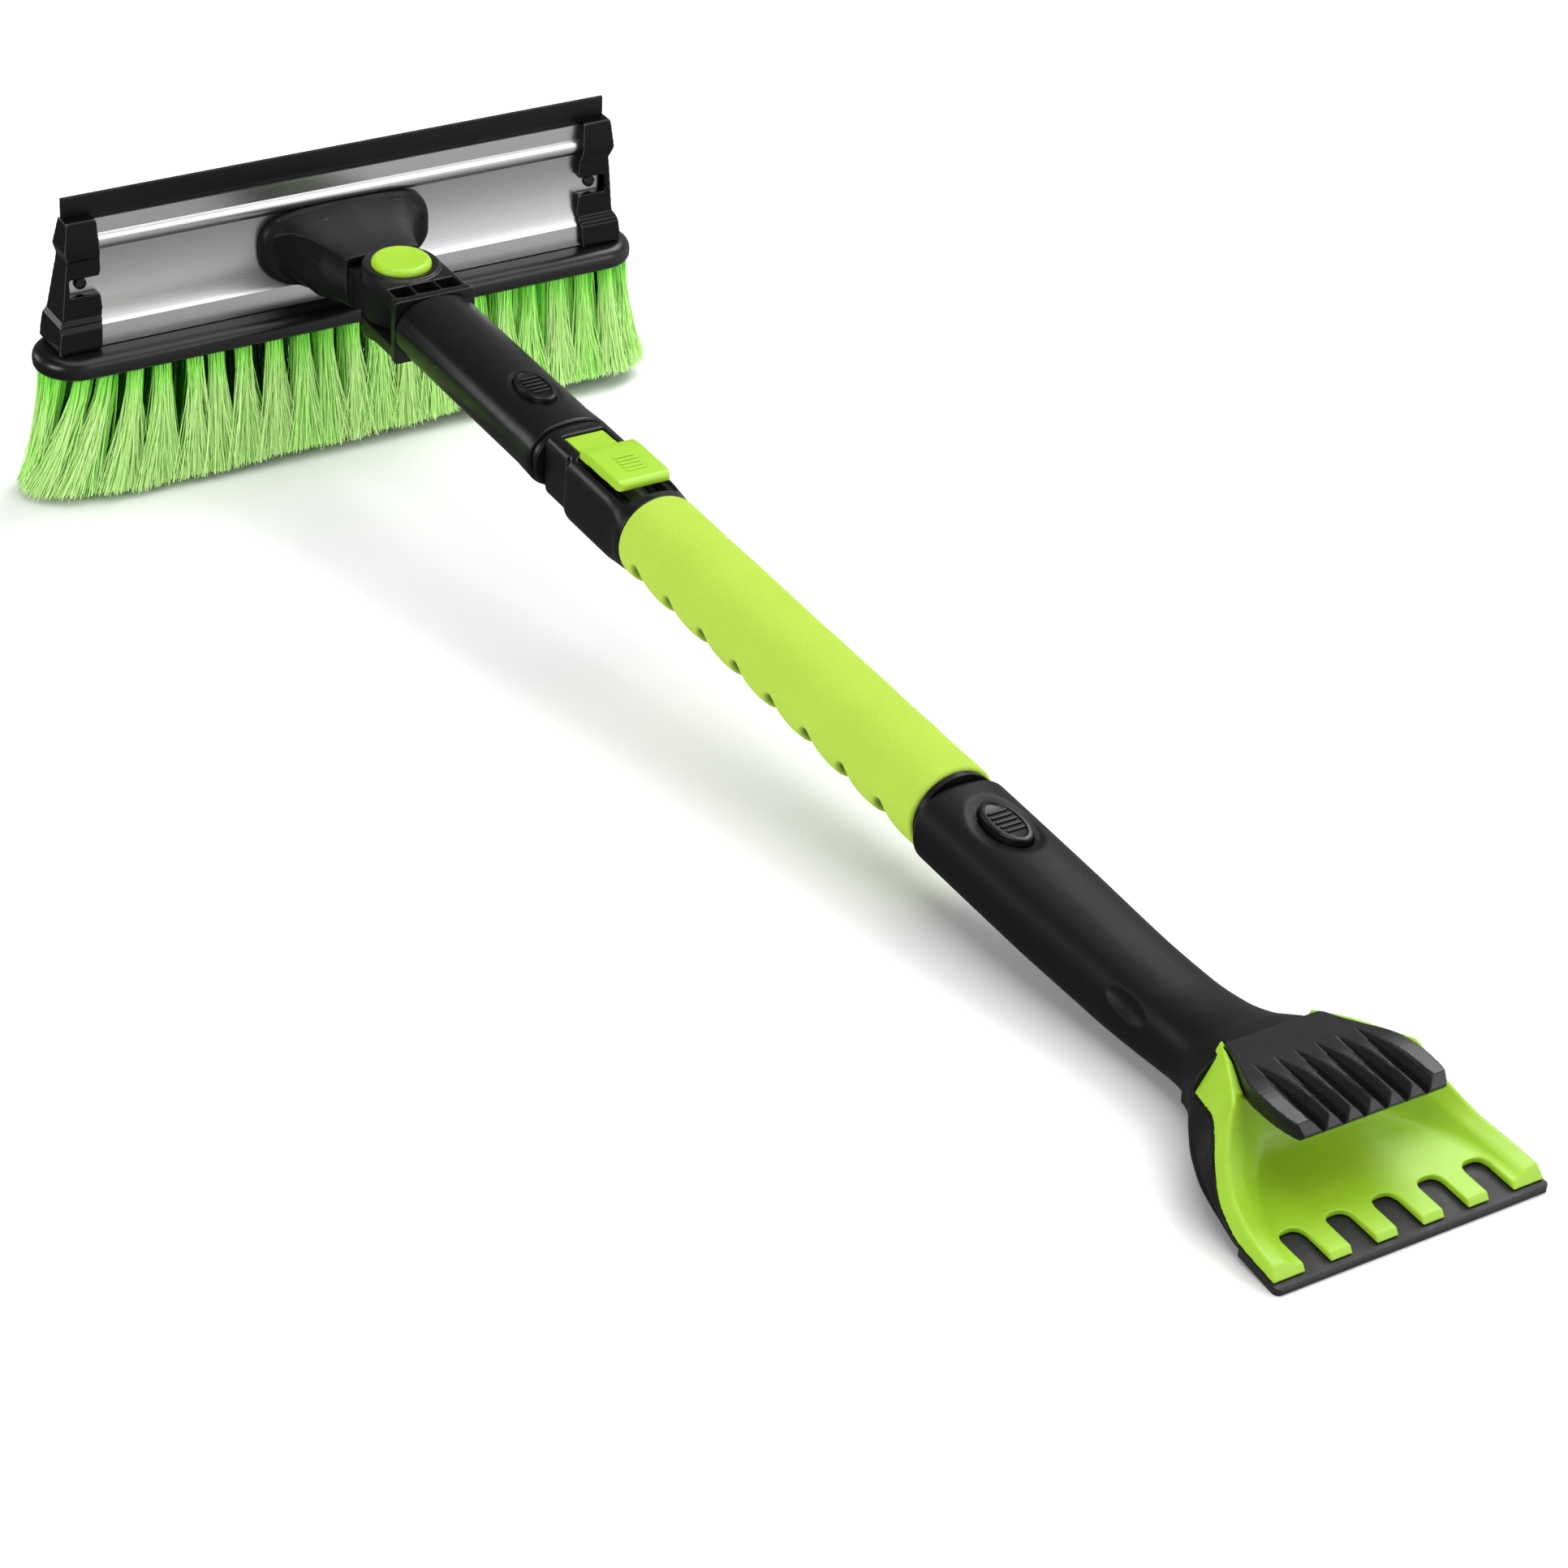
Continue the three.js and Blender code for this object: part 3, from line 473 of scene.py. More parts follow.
def bristle_material():
    """Filaments: tone runs from dark at 0 to pale at 1; the dark end is painted shade, on the inner rows
    and towards the roots.
    """
    made, tree, shader = shading("bristle")
    tones = [
        (0.0, (0.0, 0.02, 0.0)), (0.25, (0.025, 0.33, 0.006)), (0.5, (0.16, 0.80, 0.04)),
        (0.78, (0.44, 1.0, 0.16)), (1.0, (0.70, 1.0, 0.37)),
    ]
    paint = ramp(tree, node(tree, "Attribute", "Fac", attribute_name="tone"), tones)
    streaks = noise(tree, coordinates(tree, (1, 1, 0.05)), 900, 3)
    shade = ramp(tree, streaks, [(0.3, (0.72, 0.8, 0.7)), (0.7, (1.0, 1.0, 1.0))])
    colour = mixed(tree, 0.35, paint, shade, "MULTIPLY")
    surface(tree, shader, colour, spread(tree, streaks, 0.32, 0.5), 0.6)
    return made


BLACK = (0.0045, 0.0045, 0.0048)
# The last colour given to the black plastics is their painted edge highlight, with some edge wear.
MATERIALS = {
    "satin_black": plastic("satin_black", BLACK, 0.3, grain=600, depth=6e-6),
    "edged_black": plastic(
        "edged_black", BLACK, 0.3, grain=600, depth=6e-6, edge_wear_and_highlight=(0.045, 0.045, 0.047)
    ),
    "gloss_black": plastic(
        "gloss_black", (0.0018, 0.0018, 0.002), 0.14, 0.1, 0.03, 300, 4e-6, (0.26, 0.26, 0.265), 0.2,
    ),
    "charcoal_plastic": plastic(
        "charcoal", (0.005, 0.005, 0.0052), 0.44, 0.1, 0.03, 1500, 3e-5, (0.05, 0.05, 0.052), 0.18,
    ),
    "chipper": plastic(
        "chipper_black", (0.0085, 0.0085, 0.0088), 0.3, 0.15, 0.04, 1500, 1.5e-5,
        (0.045, 0.045, 0.046), 0.32,
    ),
    "black_rubber": plastic(
        "black_rubber", (0.004, 0.004, 0.0042), 0.42, 0.15, 0.08, 700, 1.2e-5, specular=0.2
    ),
    "blade_rubber": plastic(
        "blade_rubber", (0.02, 0.02, 0.021), 0.5, 0.25, 0.08, 1500, 7e-5, specular=0.3
    ),
    "lime_plastic": plastic(
        "lime_plastic", (0.33, 0.585, 0.02), 0.42, 0.03, 0.03, 700, 1.2e-5, specular=0.5
    ),
    "foam": foam_material(),
    "bristle": bristle_material(),
    "aluminium_rail": brushed("aluminium_rail", (0.56, 0.56, 0.572), 0.28, "y"),
    "aluminium_tube": brushed("aluminium_tube", (0.66, 0.67, 0.69), 0.28, "x"),
    "steel": brushed("steel", (0.5, 0.51, 0.53), 0.3, "z", 1500),
}


def piece(name, obj, body, slot, cad_node, sharp=38, material=None):
    obj.name = name
    obj.data.name = name
    obj.data.transform(TOOL @ Matrix.Scale(MM, 4))
    obj.data.materials.clear()
    obj.data.materials.append(MATERIALS[material or slot])
    obj.data.polygons.foreach_set("use_smooth", [True] * len(obj.data.polygons))
    obj.data.set_sharp_from_angle(angle=radians(sharp))
    obj.data.update()
    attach(obj, body)
    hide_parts(cad_node)
    return obj


# ---- brush head
HEAD_X = -60.0
RAIL_HALF, CAP_INNER = 131.0, 118.5
RAIL_TOP, RAIL_FOOT = 35.3, -24.2


def rail_front(offset=0.0):
    path = [(-57.4, RAIL_TOP), (-57.4, 28.4)]
    path += bezier((-57.4, 28.2), (-53.4, 24.6), (-57.2, 20.6), 12)
    path += bezier((-57.2, 20.6), (-61, 2), (-54.3, -13.6), 24)[1:]
    path += [(-53.9, -14.3), (-53.5, RAIL_FOOT)]
    return [(x + offset, z) for x, z in path]


rail_profile = [(-58.9, RAIL_TOP)] + rail_front()
rail_profile += [(-55.3, RAIL_FOOT), (-55.8, -16.2), (-64.3, -16.2), (-64.3, RAIL_FOOT)]
rail_profile += [(-66.1, RAIL_FOOT), (-66.1, -14.2)] + bezier((-57.4, -14.2), (-63, 2), (-59.2, 20), 20)
rail_profile += [(-63.5, 20), (-63.5, RAIL_TOP), (-61.9, RAIL_TOP), (-61.9, 22.2), (-58.9, 22.2)]
rail = prism(rail_profile, "y", -RAIL_HALF, RAIL_HALF)
piece("rail", rail, "brush_head", "aluminium_rail", "squeegee_rail", 24)

blade_profile = rounded(
    [(-61.5, 22.6), (-59.3, 22.6), (-59.2, 40), (-59.5, 46.2), (-61.2, 46.2), (-61.6, 40)], 0.5, 3
)
blade = prism(blade_profile, "y", -132.6, 132.6)
piece("wiper_blade", blade, "brush_head", "black_rubber", "squeegee_blade", 50)

cap_side = [
    (-52.7, 37.4), (-51.8, 30), (-51.3, 24), (-52.6, 19.4), (-53.6, 18.2), (-53.6, -9.6),
    (-52.2, -10.8), (-52.2, -12.4), (-50.6, -13.8), (-50.2, RAIL_FOOT),
    (-74, RAIL_FOOT), (-73, -13), (-66, 16), (-66, 22), (-61.9, 37.4),
]
cap_face = [
    (CAP_INNER + 1.4, RAIL_FOOT), (140, RAIL_FOOT), (139.6, -19), (138.6, -12), (136.7, -9.6),
    (134.6, 12), (133.7, 19), (135.4, 24), (134.4, 31), (133.6, 37.4), (CAP_INNER + 1.2, 37.4),
    (CAP_INNER + 0.6, 24.6), (CAP_INNER, 20), (CAP_INNER - 0.4, 13), (CAP_INNER + 0.8, 8),
    (CAP_INNER - 0.6, -6), (CAP_INNER + 0.2, -11), (CAP_INNER + 1, -15),
]
envelope = [(-64, RAIL_TOP + GAP)] + rail_front(GAP) + [(-53.1, -25), (-64, -25)]
cap = prism(rounded(cap_side, 0.5, 2), "y", CAP_INNER - 2, 140.2)
common(cap, prism(rounded(cap_face, 0.9, 3), "x", -80, -40))
cut(
    cap, prism(envelope, "y", CAP_INNER - 3, RAIL_HALF + GAP),
    cuboid(-66.6, -53, CAP_INNER - 3, RAIL_HALF + GAP, RAIL_FOOT - 1, -13.6),
    cuboid(-62, -58.7, CAP_INNER - 3, 133, 21.8, 42),
    prism(rectangle(CAP_INNER - 3, 132.8, 1.2, 9.8, 0.8), "x", -60, -45),
)
cap_right = soften(cap, 0.42, 2, 0.35)
cap_left = mirrored(cap_right)
rivet_profile = [(0, 0), (2.8, 0), (2.8, 0.5), (2.5, 0.95), (1.9, 1.05), (1.6, 0.6), (0, 0.5)]
FACING_X = Matrix.Rotation(pi / 2, 4, "Y")
for side, sign, made in (("right", 1, cap_right), ("left", -1, cap_left)):
    piece(f"cap_{side}", made, "brush_head", "gloss_black", f"end_cap_{side}", 60)
    stud = revolve(rivet_profile, 40)
    stud.data.transform(Matrix.Translation((-57.9, sign * 126.2, 5.6)) @ FACING_X)
    piece(f"rivet_{side}", stud, "brush_head", "satin_black", f"cap_rivet_{side}")


def stadium(half_length, half_width, z, per_end=40):
    """A ring of points around the head's middle: two half circles joined by straights."""
    ring = []
    for side, start in ((1, 0.0), (-1, pi)):
        for i in range(per_end):
            angle = start + pi * i / (per_end - 1)
            x = HEAD_X + half_width * cos(angle)
            ring.append((x, side * (half_length - half_width) + half_width * sin(angle), z))
    return ring


BLOCK_HALF, BLOCK_WIDE = 148.0, 18.5
block_profile = [
    (3.0, -34), (1.6, -33.9), (0.6, -33.2), (0.1, -32.2), (0, -31), (0, -29.4), (0.25, -28.2),
    (0.8, -27), (1.7, -26), (2.9, -25.2), (4.4, -24.75), (6, -24.6),
]
block = loft([stadium(BLOCK_HALF - inset, BLOCK_WIDE - inset, z) for inset, z in block_profile])
fuse(block, cuboid(-63.9, -56.2, -117, 117, -26, -16.7))
piece("brush_block", block, "brush_head", "satin_black", "bristle_block", 45)

floor_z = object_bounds()[0][2]


def floor_at(x):
    """Height in the tool's frame of the plane that the tool stands on."""
    x0, z0 = SWIVEL["pos_m"][0] / MM, SWIVEL["pos_m"][2] / MM
    return (floor_z / MM - z0 + x * sin(TILT)) / cos(TILT)


def around(s, half_length, half_width):
    """A point on a stadium about the head's middle, s in turns from the end of its front side."""
    straight, arc = 2 * (half_length - half_width), pi * half_width
    along = (s % 1.0) * 2 * (straight + arc)
    side = 1
    if along >= straight + arc:
        along -= straight + arc
        side = -1
    if along < straight:
        return HEAD_X + side * half_width, side * (straight / 2 - along)
    angle = (along - straight) / half_width
    y = straight / 2 + half_width * sin(angle)
    return HEAD_X + side * half_width * cos(angle), -side * y


TUFT_ROWS = (
    # root stadium, tip stadium, tufts, filaments in each, radius of the root, tone (lower on the inner
    # rows: painted shade)
    ((142.6, 13.6), (154.6, 24.6), 46, 132, 3.7, 0.97),
    ((138.6, 9.6), (151.0, 19.5), 46, 90, 3.4, 0.74),
    ((134.0, 5.0), (146.0, 13.0), 44, 45, 2.6, 0.1),
)
ROOT_Z = -33.6
END_FROM = 124
LEAN_FROM = 126
LEVELS, SIDES = 6, 3


def tufts():
    """Each tuft's place in turns along its row, with the row's values."""
    for k, row in enumerate(TUFT_ROWS):
        count = row[2]
        for i in range(count):
            yield (i + 0.5 * k) / count, *row


def bristle_meshes():
    """Vertices, faces and tones of the filaments, by the CAD row that each tuft belongs to.

    Tufts beyond END_FROM belong to the end rows. The tips are uneven, and shorter towards +Y.
    """
    draw = random.Random(7)
    made = {side: ([], [], []) for side in ("front", "back", "left", "right")}
    for s, root, tip, count, filaments, radius, tone in tufts():
        s += draw.uniform(-0.12, 0.12) / count
        radius *= draw.uniform(0.88, 1.12)
        x0, y0 = around(s, *root)
        lean_share = min(1.0, (abs(y0) / LEAN_FROM) ** 4)
        tuft_tone = tone + draw.uniform(-0.1, 0.1)
        lean = draw.uniform(-0.12, 0.12) / count
        tuft_short = draw.uniform(1.2, 3.4) if tone > 0.9 else draw.uniform(0, 1.6)
        if abs(y0) > END_FROM:
            side = "right" if y0 > 0 else "left"
        else:
            side = "front" if x0 > HEAD_X else "back"
        vertices, faces, tones = made[side]
        for _ in range(filaments):
            turn, r = draw.uniform(0, 2 * pi), radius * sqrt(draw.random())
            rx, ry = x0 + r * cos(turn), y0 + r * sin(turn)
            fan = max(-1.0, min(1.0, draw.gauss(0, 0.5)))
            st = s + lean + fan * 0.72 / count
            out = draw.gauss(0, 1.6)
            tx, ty = around(st, tip[0] + out, tip[1] + out)
            if abs(y0) < LEAN_FROM:
                level = around(s, *tip)[1]
                ty -= (level - y0) * (1 - lean_share)
            shorter = tuft_short + abs(draw.gauss(0, 1.3)) + (draw.random() < 0.06) * 4
            shorter += 0.4 + 2.2 * (1 + ty / 155)
            z0, z1 = ROOT_Z, floor_at(tx) + 0.3 + shorter
            wave, phase = draw.uniform(0.15, 0.55), draw.uniform(0, 2 * pi)
            twist = draw.uniform(0, 2 * pi)
            shade = min(1.0, max(0.0, tuft_tone + draw.gauss(0, 0.1)))
            thick = draw.uniform(0.2, 0.29)
            start = len(vertices)
            for k in range(LEVELS):
                t = k / (LEVELS - 1)
                flare = t**1.35
                cx = rx + (tx - rx) * flare + wave * t * sin(phase + 7 * t)
                cy = ry + (ty - ry) * flare + wave * t * cos(phase * 1.7 + 9 * t)
                cz = z0 + (z1 - z0) * t
                size = thick * (1 - 0.35 * t)
                for c in range(SIDES):
                    angle = twist + 2 * pi * c / SIDES
                    vertices.append((cx + size * cos(angle), cy + size * sin(angle), cz))
                    # Painted shade: each filament is darker over its lowest third, towards the root.
                    tones.append(shade * (0.62 + 0.38 * min(1, 3.2 * t)) + 0.04 * t)
            for k in range(LEVELS - 1):
                a = start + SIDES * k
                for c in range(SIDES):
                    d = (c + 1) % SIDES
                    faces.append((a + c, a + d, a + SIDES + d, a + SIDES + c))
            end = start + SIDES * (LEVELS - 1)
            faces.append((end, end + 1, end + 2))
            faces.append((start + 2, start + 1, start))
    return made


for side, (vertices, faces, tones) in bristle_meshes().items():
    mesh = bpy.data.meshes.new("filaments")
    mesh.from_pydata(vertices, [], faces)
    mesh.attributes.new("tone", "FLOAT", "POINT").data.foreach_set("value", tones)
    bristles = add_object("filaments", mesh)
    piece(f"tufts_{side}", bristles, "brush_head", "bristle", f"bristles_{side}", 80)

# ---- neck
head_neck_at = curve_through([
    # x, half-width, height of the crease, height of the crown, underside
    [-60, 41.2, 4, 22.2, -18.6], [-56, 40.8, 5, 22.1, -18.4], [-54, 39.4, 7.6, 21.9, -18],
    [-52.4, 36.9, 11.2, 21.5, -17.7], [-50.4, 33.9, 13.6, 20.8, -17.2],
    [-46, 29.9, 15.2, 19.4, -16.4], [-40, 25.8, 15.2, 17.8, -15.4], [-32, 21.6, 14.0, 15.8, -13.8],
    [-25, 19.2, 13.1, 14.4, -12.6], [-18.3, 17.8, 12.6, 13.4, -11.8],
])


def neck_half(x, inset):
    """A sharp crease, a crowned top, and a side that grows square forwards."""
    w, crease, crown, low = head_neck_at(x)
    w -= inset
    square = float(smooth_step(-55, -34, x))
    return [
        (0.5, low), ((0.5 + 0.36 * square) * w, low),
        ((0.92 + 0.08 * square) * w, (0.3 + 0.36 * square) * low),
        (w, crease), (0.8 * w, 0.18 * crease + 0.82 * crown), (0.5, crown),
    ]


def neck_body(inset=0.0):
    xs = steps(-60, -18.3, 0.8)
    return half_loft(xs, lambda x: neck_half(x, inset), (0.1, 5, 4, 0.1, 6, 0.1))


def flange_outline(x, inset):
    upper = superellipse(41.8 - inset, 22.4 - inset, 3.6, 0, 96)
    lower = superellipse(41.8 - inset, 20.6 - inset, 2.0, 0, 96)
    return upper[:49] + lower[49:]


neck = neck_body()
flange_rows = [(-62, 0), (-56.6, 0), (-55.2, 0.25), (-54.0, 0.9), (-53.1, 2.0), (-52.6, 3.4), (-52.5, 5)]
fuse(neck, loft_rows(flange_rows, flange_outline))
cut(neck, cuboid(-21, -10, -15.8, 15.8, -9.2, 10.6))
fuse(neck, rod("z", 0, 0, 16.8, -8.1, 8.1, 64), cuboid(-24, 0, -15.4, 15.4, -8.1, 8.1))
neck_seat = [(-75, 40)] + rail_front(GAP) + [(-53.1, -30), (-75, -30)]
cut(neck, prism(neck_seat, "y", -60, 60), rod("z", 0, 0, 9, -20, 20))
soften(neck, 0.5, 1, 0.4)
parting = [(-56, 7.2), (-48, 6.6), (-40, 5.0), (-32, 2.8), (-25, 1.2), (-17, 0.4)]
line_outline = [(x, z + 0.14) for x, z in parting] + [(x, z - 0.14) for x, z in parting[::-1]]
parting_line = prism(line_outline, "y", -50, 50)
core = neck_body(0.3)
core.data.transform(Matrix.Translation((0, 0, 2)) @ Matrix.Diagonal((1, 1, 1.4, 1)))
cut(neck, cut(parting_line, core))
piece("neck", neck, "brush_head", "charcoal_plastic", "head_neck", 60)

screw_profile = [(0, -2.3), (2.3, -2.2), (2.9, -1.3), (2.9, -0.4), (1.5, -0.2), (1.5, 12.8), (0, 13.4)]
for index, (y, z) in enumerate(((-26, -7), (-26, 12), (26, -7), (26, 12)), 1):
    screw = revolve(screw_profile, 32)
    cut(screw, cuboid(-0.3, 0.3, -1.8, 1.8, -3, -1.3), cuboid(-1.8, 1.8, -0.3, 0.3, -3, -1.3))
    screw.data.transform(Matrix.Translation((-61.4, y, z)) @ FACING_X)
    piece(f"rail_screw_{index}", screw, "brush_head", "steel", f"neck_screw_{index}")

# ---- pivot
PLATE, RING_R, BORE_R = 8.5, 17.5, 13.7


def fork_plate(z0, z1):
    angles = np.linspace(pi / 2, 1.5 * pi, 40)
    outline = [(RING_R * cos(a), RING_R * sin(a)) for a in angles]
    return prism(outline + [(29.6, -RING_R), (29.6, RING_R)], "z", z0, z1)


clevis = fork_plate(PLATE, 15.1)
fuse(
    clevis, fork_plate(-14.2, -PLATE),
    revolve([(0, 12), (17.4, 12), (17.4, 15.2), (16.6, 16), (0, 16)]),
    revolve([(0, -12), (17.4, -12), (17.4, -15.8), (16.8, -16.4), (0, -16.4)]),
    cuboid(18.4, 30, -14.5, 14.5, -9.5, 9.5),
    prism(rectangle(-19.4, 19.4, -14.4, 15.6, 2.2), "x", 29, 32.5),
    cuboid(27.6, 30.6, -18.6, 18.6, 11.4, 15.0),
    prism(superellipse(16.5, 11.6, 2.3, 0.9, 48), "x", 32, 58),
    prism(rectangle(30, 46, -8.5, 8.5, 6), "z", -16.2, -13.8),
)
cut(
    clevis, rod("z", 0, 0, BORE_R, 0, 20, 64), rod("z", 0, 0, BORE_R, -20, -12, 64),
    rod("z", 0, 0, 9, -13, 0, 48), prism(superellipse(14, 9.2, 2.3, 0.9, 40), "x", 36, 60),
)
for y0, y1 in ((-15.6, -6.4), (-5.2, 5.2), (6.4, 15.6)):
    cut(clevis, cuboid(18.7, 27.6, y0, y1, 9.6, 20), cuboid(18.7, 27.6, y0, y1, -20, -9.6))
soften(clevis, 0.38, 1, 0.4)
piece("clevis", clevis, "brush_side", "satin_black", "pivot_clevis", 60, "edged_black")

button_profile = [(0, 3.6), (6.9, 3.6), (6.9, -5.4), (8.6, -5.4), (8.6, 13.7), (13.1, 13.7), (13.3, 14)]
button_profile += [(13.3, 16.6), (13.15, 17.1), (12.7, 17.7), (12.0, 18.3), (11.4, 18.55)]
button_profile += [(10.8, 18.6), (10.4, 18.55), (0, 18.5)]
button = revolve(button_profile, 96)
piece("button", button, "pivot_release", "lime_plastic", "pivot_button", 30)
disc_profile = [(0, -15.4), (11.6, -15.4), (12.7, -15.0), (13.3, -14.2), (13.3, -12.4), (0, -12.4)]
piece("base_disc", revolve(disc_profile), "brush_side", "lime_plastic", "pivot_base_cap", 30)


def coil(x, z0, z1, r, wire, turns):
    """A compression spring on an upright axis at (x, 0), with closed end turns."""
    sides, total = 10, turns * 24
    centre = []
    for i in range(total + 1):
        t = i / total
        rise = t - sin(2 * pi * t) / (2 * pi) * 0.35
        angle = 2 * pi * turns * t
        z = z0 + wire / 2 + (z1 - z0 - wire) * rise
        centre.append(Vector((x + r * cos(angle), r * sin(angle), z)))
    rings = []
    for i, point in enumerate(centre):
        ahead = (centre[min(i + 1, total)] - centre[max(i - 1, 0)]).normalized()
        outward = (point - Vector((x, 0, point.z))).normalized()
        across = ahead.cross(outward).normalized()
        ring = []
        for c in range(sides):
            around_wire = 2 * pi * c / sides
            up, over = wire / 2 * cos(around_wire), wire / 2 * sin(around_wire)
            ring.append(tuple(point + outward * up + across * over))
        rings.append(ring)
    return loft(rings)


def spring(name, body, x, z0, z1, r, wire, turns, cad_node):
    made = piece(name, coil(x, z0, z1, r, wire, turns), body, "steel", cad_node)
    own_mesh(made)


spring("coil_pivot", "brush_side", 0, -12.1, 3.3, 5.6, 1.2, 5, "pivot_spring")

# ---- brush handle
TUBE_A, TUBE_B, TUBE_Z, TUBE_N = 19.2, 14.3, 0.9, 2.3
LATCH_A, LATCH_B = 13.6, 7.1
BRUSH_LATCH_X, SCRAPER_LATCH_X = 123, 473.5


def latch_dish(co, x, reach, depth):
    """Sinks the top of a handle around its latch button."""
    away = np.hypot((co[:, 0] - x) / (LATCH_A + reach), co[:, 1] / (LATCH_B + reach))
    sink = depth * (1 - smooth_step(0.78, 1.0, away)) * (co[:, 2] > 4)
    co[:, 2] -= sink
    return co


def latch_hole(x, z0):
    return prism(oval(x, 0, LATCH_A + GAP, LATCH_B + GAP, 72), "z", z0, 30)


tube_rows = ends_rounded(32.9, 155, 1.1)
middle = len(tube_rows) // 2
tube_rows[middle:middle] = [(x, 0.0) for x in steps(36, 152, 1.6)]
grip_swell = curve_through([[32, 0.35], [44, 0], [138, 0], [150, 0.5], [155, 0.7]])


def handle_outline(x, inset):
    swell = grip_swell(x)[0]
    return superellipse(TUBE_A - inset + swell, TUBE_B - inset + swell, TUBE_N, TUBE_Z, 128)


handle = loft_rows(tube_rows, handle_outline)
move_points(handle, lambda co: latch_dish(co, BRUSH_LATCH_X, 3.2, 0.5))
strip = soft_prism(lambda i: rectangle(50 + i, 150 - i, -6 + i, 6 - i, 2.5), "z", -15.0, -9, 0.6)
fuse(handle, strip)
cut(
    handle, prism(superellipse(TUBE_A - 2.2, TUBE_B - 2.2, TUBE_N, TUBE_Z, 96), "x", 0, 200),
    latch_hole(BRUSH_LATCH_X, 0), *[ellipsoid(x, 0, -16, 7.4, 4.7, 2) for x in (56, 80, 104, 128)],
)
piece("handle_tube", handle, "brush_side", "satin_black", "brush_handle_tube", 40)

collar = loft_rows(
    [(155.4, 0.5), (156, 0), (158.2, 0), (159, 0.7)],
    lambda x, i: superellipse(18.6 - i, 13.9 - i, TUBE_N, TUBE_Z, 96),
)
fuse(collar, prism(superellipse(14.4, 11.6, TUBE_N, TUBE_Z, 96), "x", 73, 156))
lip_drop = {157: 0, 160: 0.1, 163: 0.4, 165: 0.9}
lip = loft_rows(
    [(157, 0), (160, 0.3), (163, 1.2), (165, 2.6)],
    lambda x, i: superellipse(14.2 - i, 13.2 - i, 2.4, -1.6 - lip_drop[x], 64),
)
fuse(collar, common(lip, cuboid(150, 170, -16, 16, -20, -8)))
cut(
    collar, prism(superellipse(12.4, 9.6, TUBE_N, TUBE_Z, 64), "x", 72, 139.6),
    rod("x", 0, 0, 9.8, 72, 166), cuboid(158.9, 170, -14.95, 14.95, -13.9, 20),
    latch_hole(BRUSH_LATCH_X, 0.9),
)
piece("plug_brush", collar, "brush_side", "satin_black", "brush_coupling", 40)


def rib(at, half, reach, radius, z0, z1, edge):
    """A rib across the handle at x = at, with rounded edges above and below."""
    def outline(i):
        return rectangle(at - half + i, at + half - i, -reach + i, reach - i, radius, 3)

    return soft_prism(outline, "z", z0, z1, edge, 3)


def latch_button(x, top):
    """An oval button with a raised rim, a sunken field with ribs and a flange."""
    def outline(a, b):
        return lambda inset: oval(x, 0, a - inset, b - inset, 72)

    made = soft_prism(outline(LATCH_A, LATCH_B), "z", top - 8.5, top, 0.8)
    fuse(made, prism(oval(x, 0, LATCH_A + 1.4, LATCH_B + 0.9, 72), "z", top - 9.8, top - 8.0))
    cut(made, soft_prism(outline(LATCH_A - 1.9, LATCH_B - 1.8), "z", top - 0.75, top + 2, 0.5))
    for i in range(-2, 3):
        reach = 4.6 * sqrt(1 - (i * 2.9 / 12.6) ** 2)
        fuse(made, rib(x + i * 2.9, 0.55, reach, 0.4, top - 2.5, top + 0.1, 0.3))
    return cut(made, rod("z", x, 0, 4.6, top - 12, top - 6.6))


made = latch_button(BRUSH_LATCH_X, 17)
piece("button_brush", made, "brush_latch", "satin_black", "brush_latch_button", 35)
spring(
    "coil_brush", "brush_side", BRUSH_LATCH_X, -8.3, 9, 3.6, 0.9, 6,
    "brush_latch_spring",
)


def pipe(x0, x1, outer, inner):
    made = soft_prism(lambda i: oval(0, 0, outer - i, outer - i, 96), "x", x0, x1, 0.3, 2)
    return cut(made, rod("x", 0, 0, inner, x0 - 5, x1 + 5, 96))


piece("tube_inner", pipe(140, 390, 9.5, 8.4), "brush_side", "aluminium_tube", "inner_tube", 40)
bush = fuse(pipe(375, 391, 8.1, 5), pipe(390.3, 397, 9.8, 5))
piece("bush", bush, "brush_side", "charcoal_plastic", "glide_bush")

# ---- lock housing and lever
SLOT0, SLOT1 = 164.4, 217.6
PIN_X, PIN_Z, PIN_R = 179, 12.6, 1.4
housing_shape = curve_through([
    # x, half-width, top, bottom, exponent
    [159.4, 14.2, 14.9, -13.2, 5.5], [160.4, 14.8, 15.5, -13.8, 6], [176.6, 14.8, 15.6, -13.8, 6],
    [178.4, 16.0, 15.7, -15.0, 5.4], [182, 16.5, 15.9, -16.0, 4.8], [212, 16.6, 16.3, -16.5, 4.2],
    [219, 16.9, 16.7, -16.9, 3.2], [224, 17.8, 17.2, -17.7, 2.4], [227, 18.1, 17.6, -18.1, 2.1],
])
housing = loft_x([[x, *housing_shape(x)] for x in steps(159.4, 227, 0.8)], 112)
cut(
    housing, rod("x", 0, 0, 9.9, 150, 240, 64), rod("x", 0, 0, 11.6, 200, 240, 64),
    prism(rectangle(SLOT0, SLOT1, -9.6, 9.6, 1.6), "z", 10.6, 30),
    prism(rectangle(181.5, 221.8, -12.9, 12.9, 3), "z", 13.1, 30), cuboid(SLOT0, 183, -9.6, 9.6, 8, 30),
    rod("y", PIN_X, PIN_Z, PIN_R + 0.3, -30, 30, 32),
)
soften(housing, 0.4, 2, 0.4)
piece("housing", housing, "shaft", "satin_black", "lock_housing", 60, "edged_black")


def pin_outline(inset):
    return oval(PIN_X, PIN_Z, PIN_R - inset, PIN_R - inset, 24)


pin = soft_prism(pin_outline, "y", -13.4, 13.4, 0.35, 3)
piece("pin", pin, "shaft", "steel", "lever_pin")

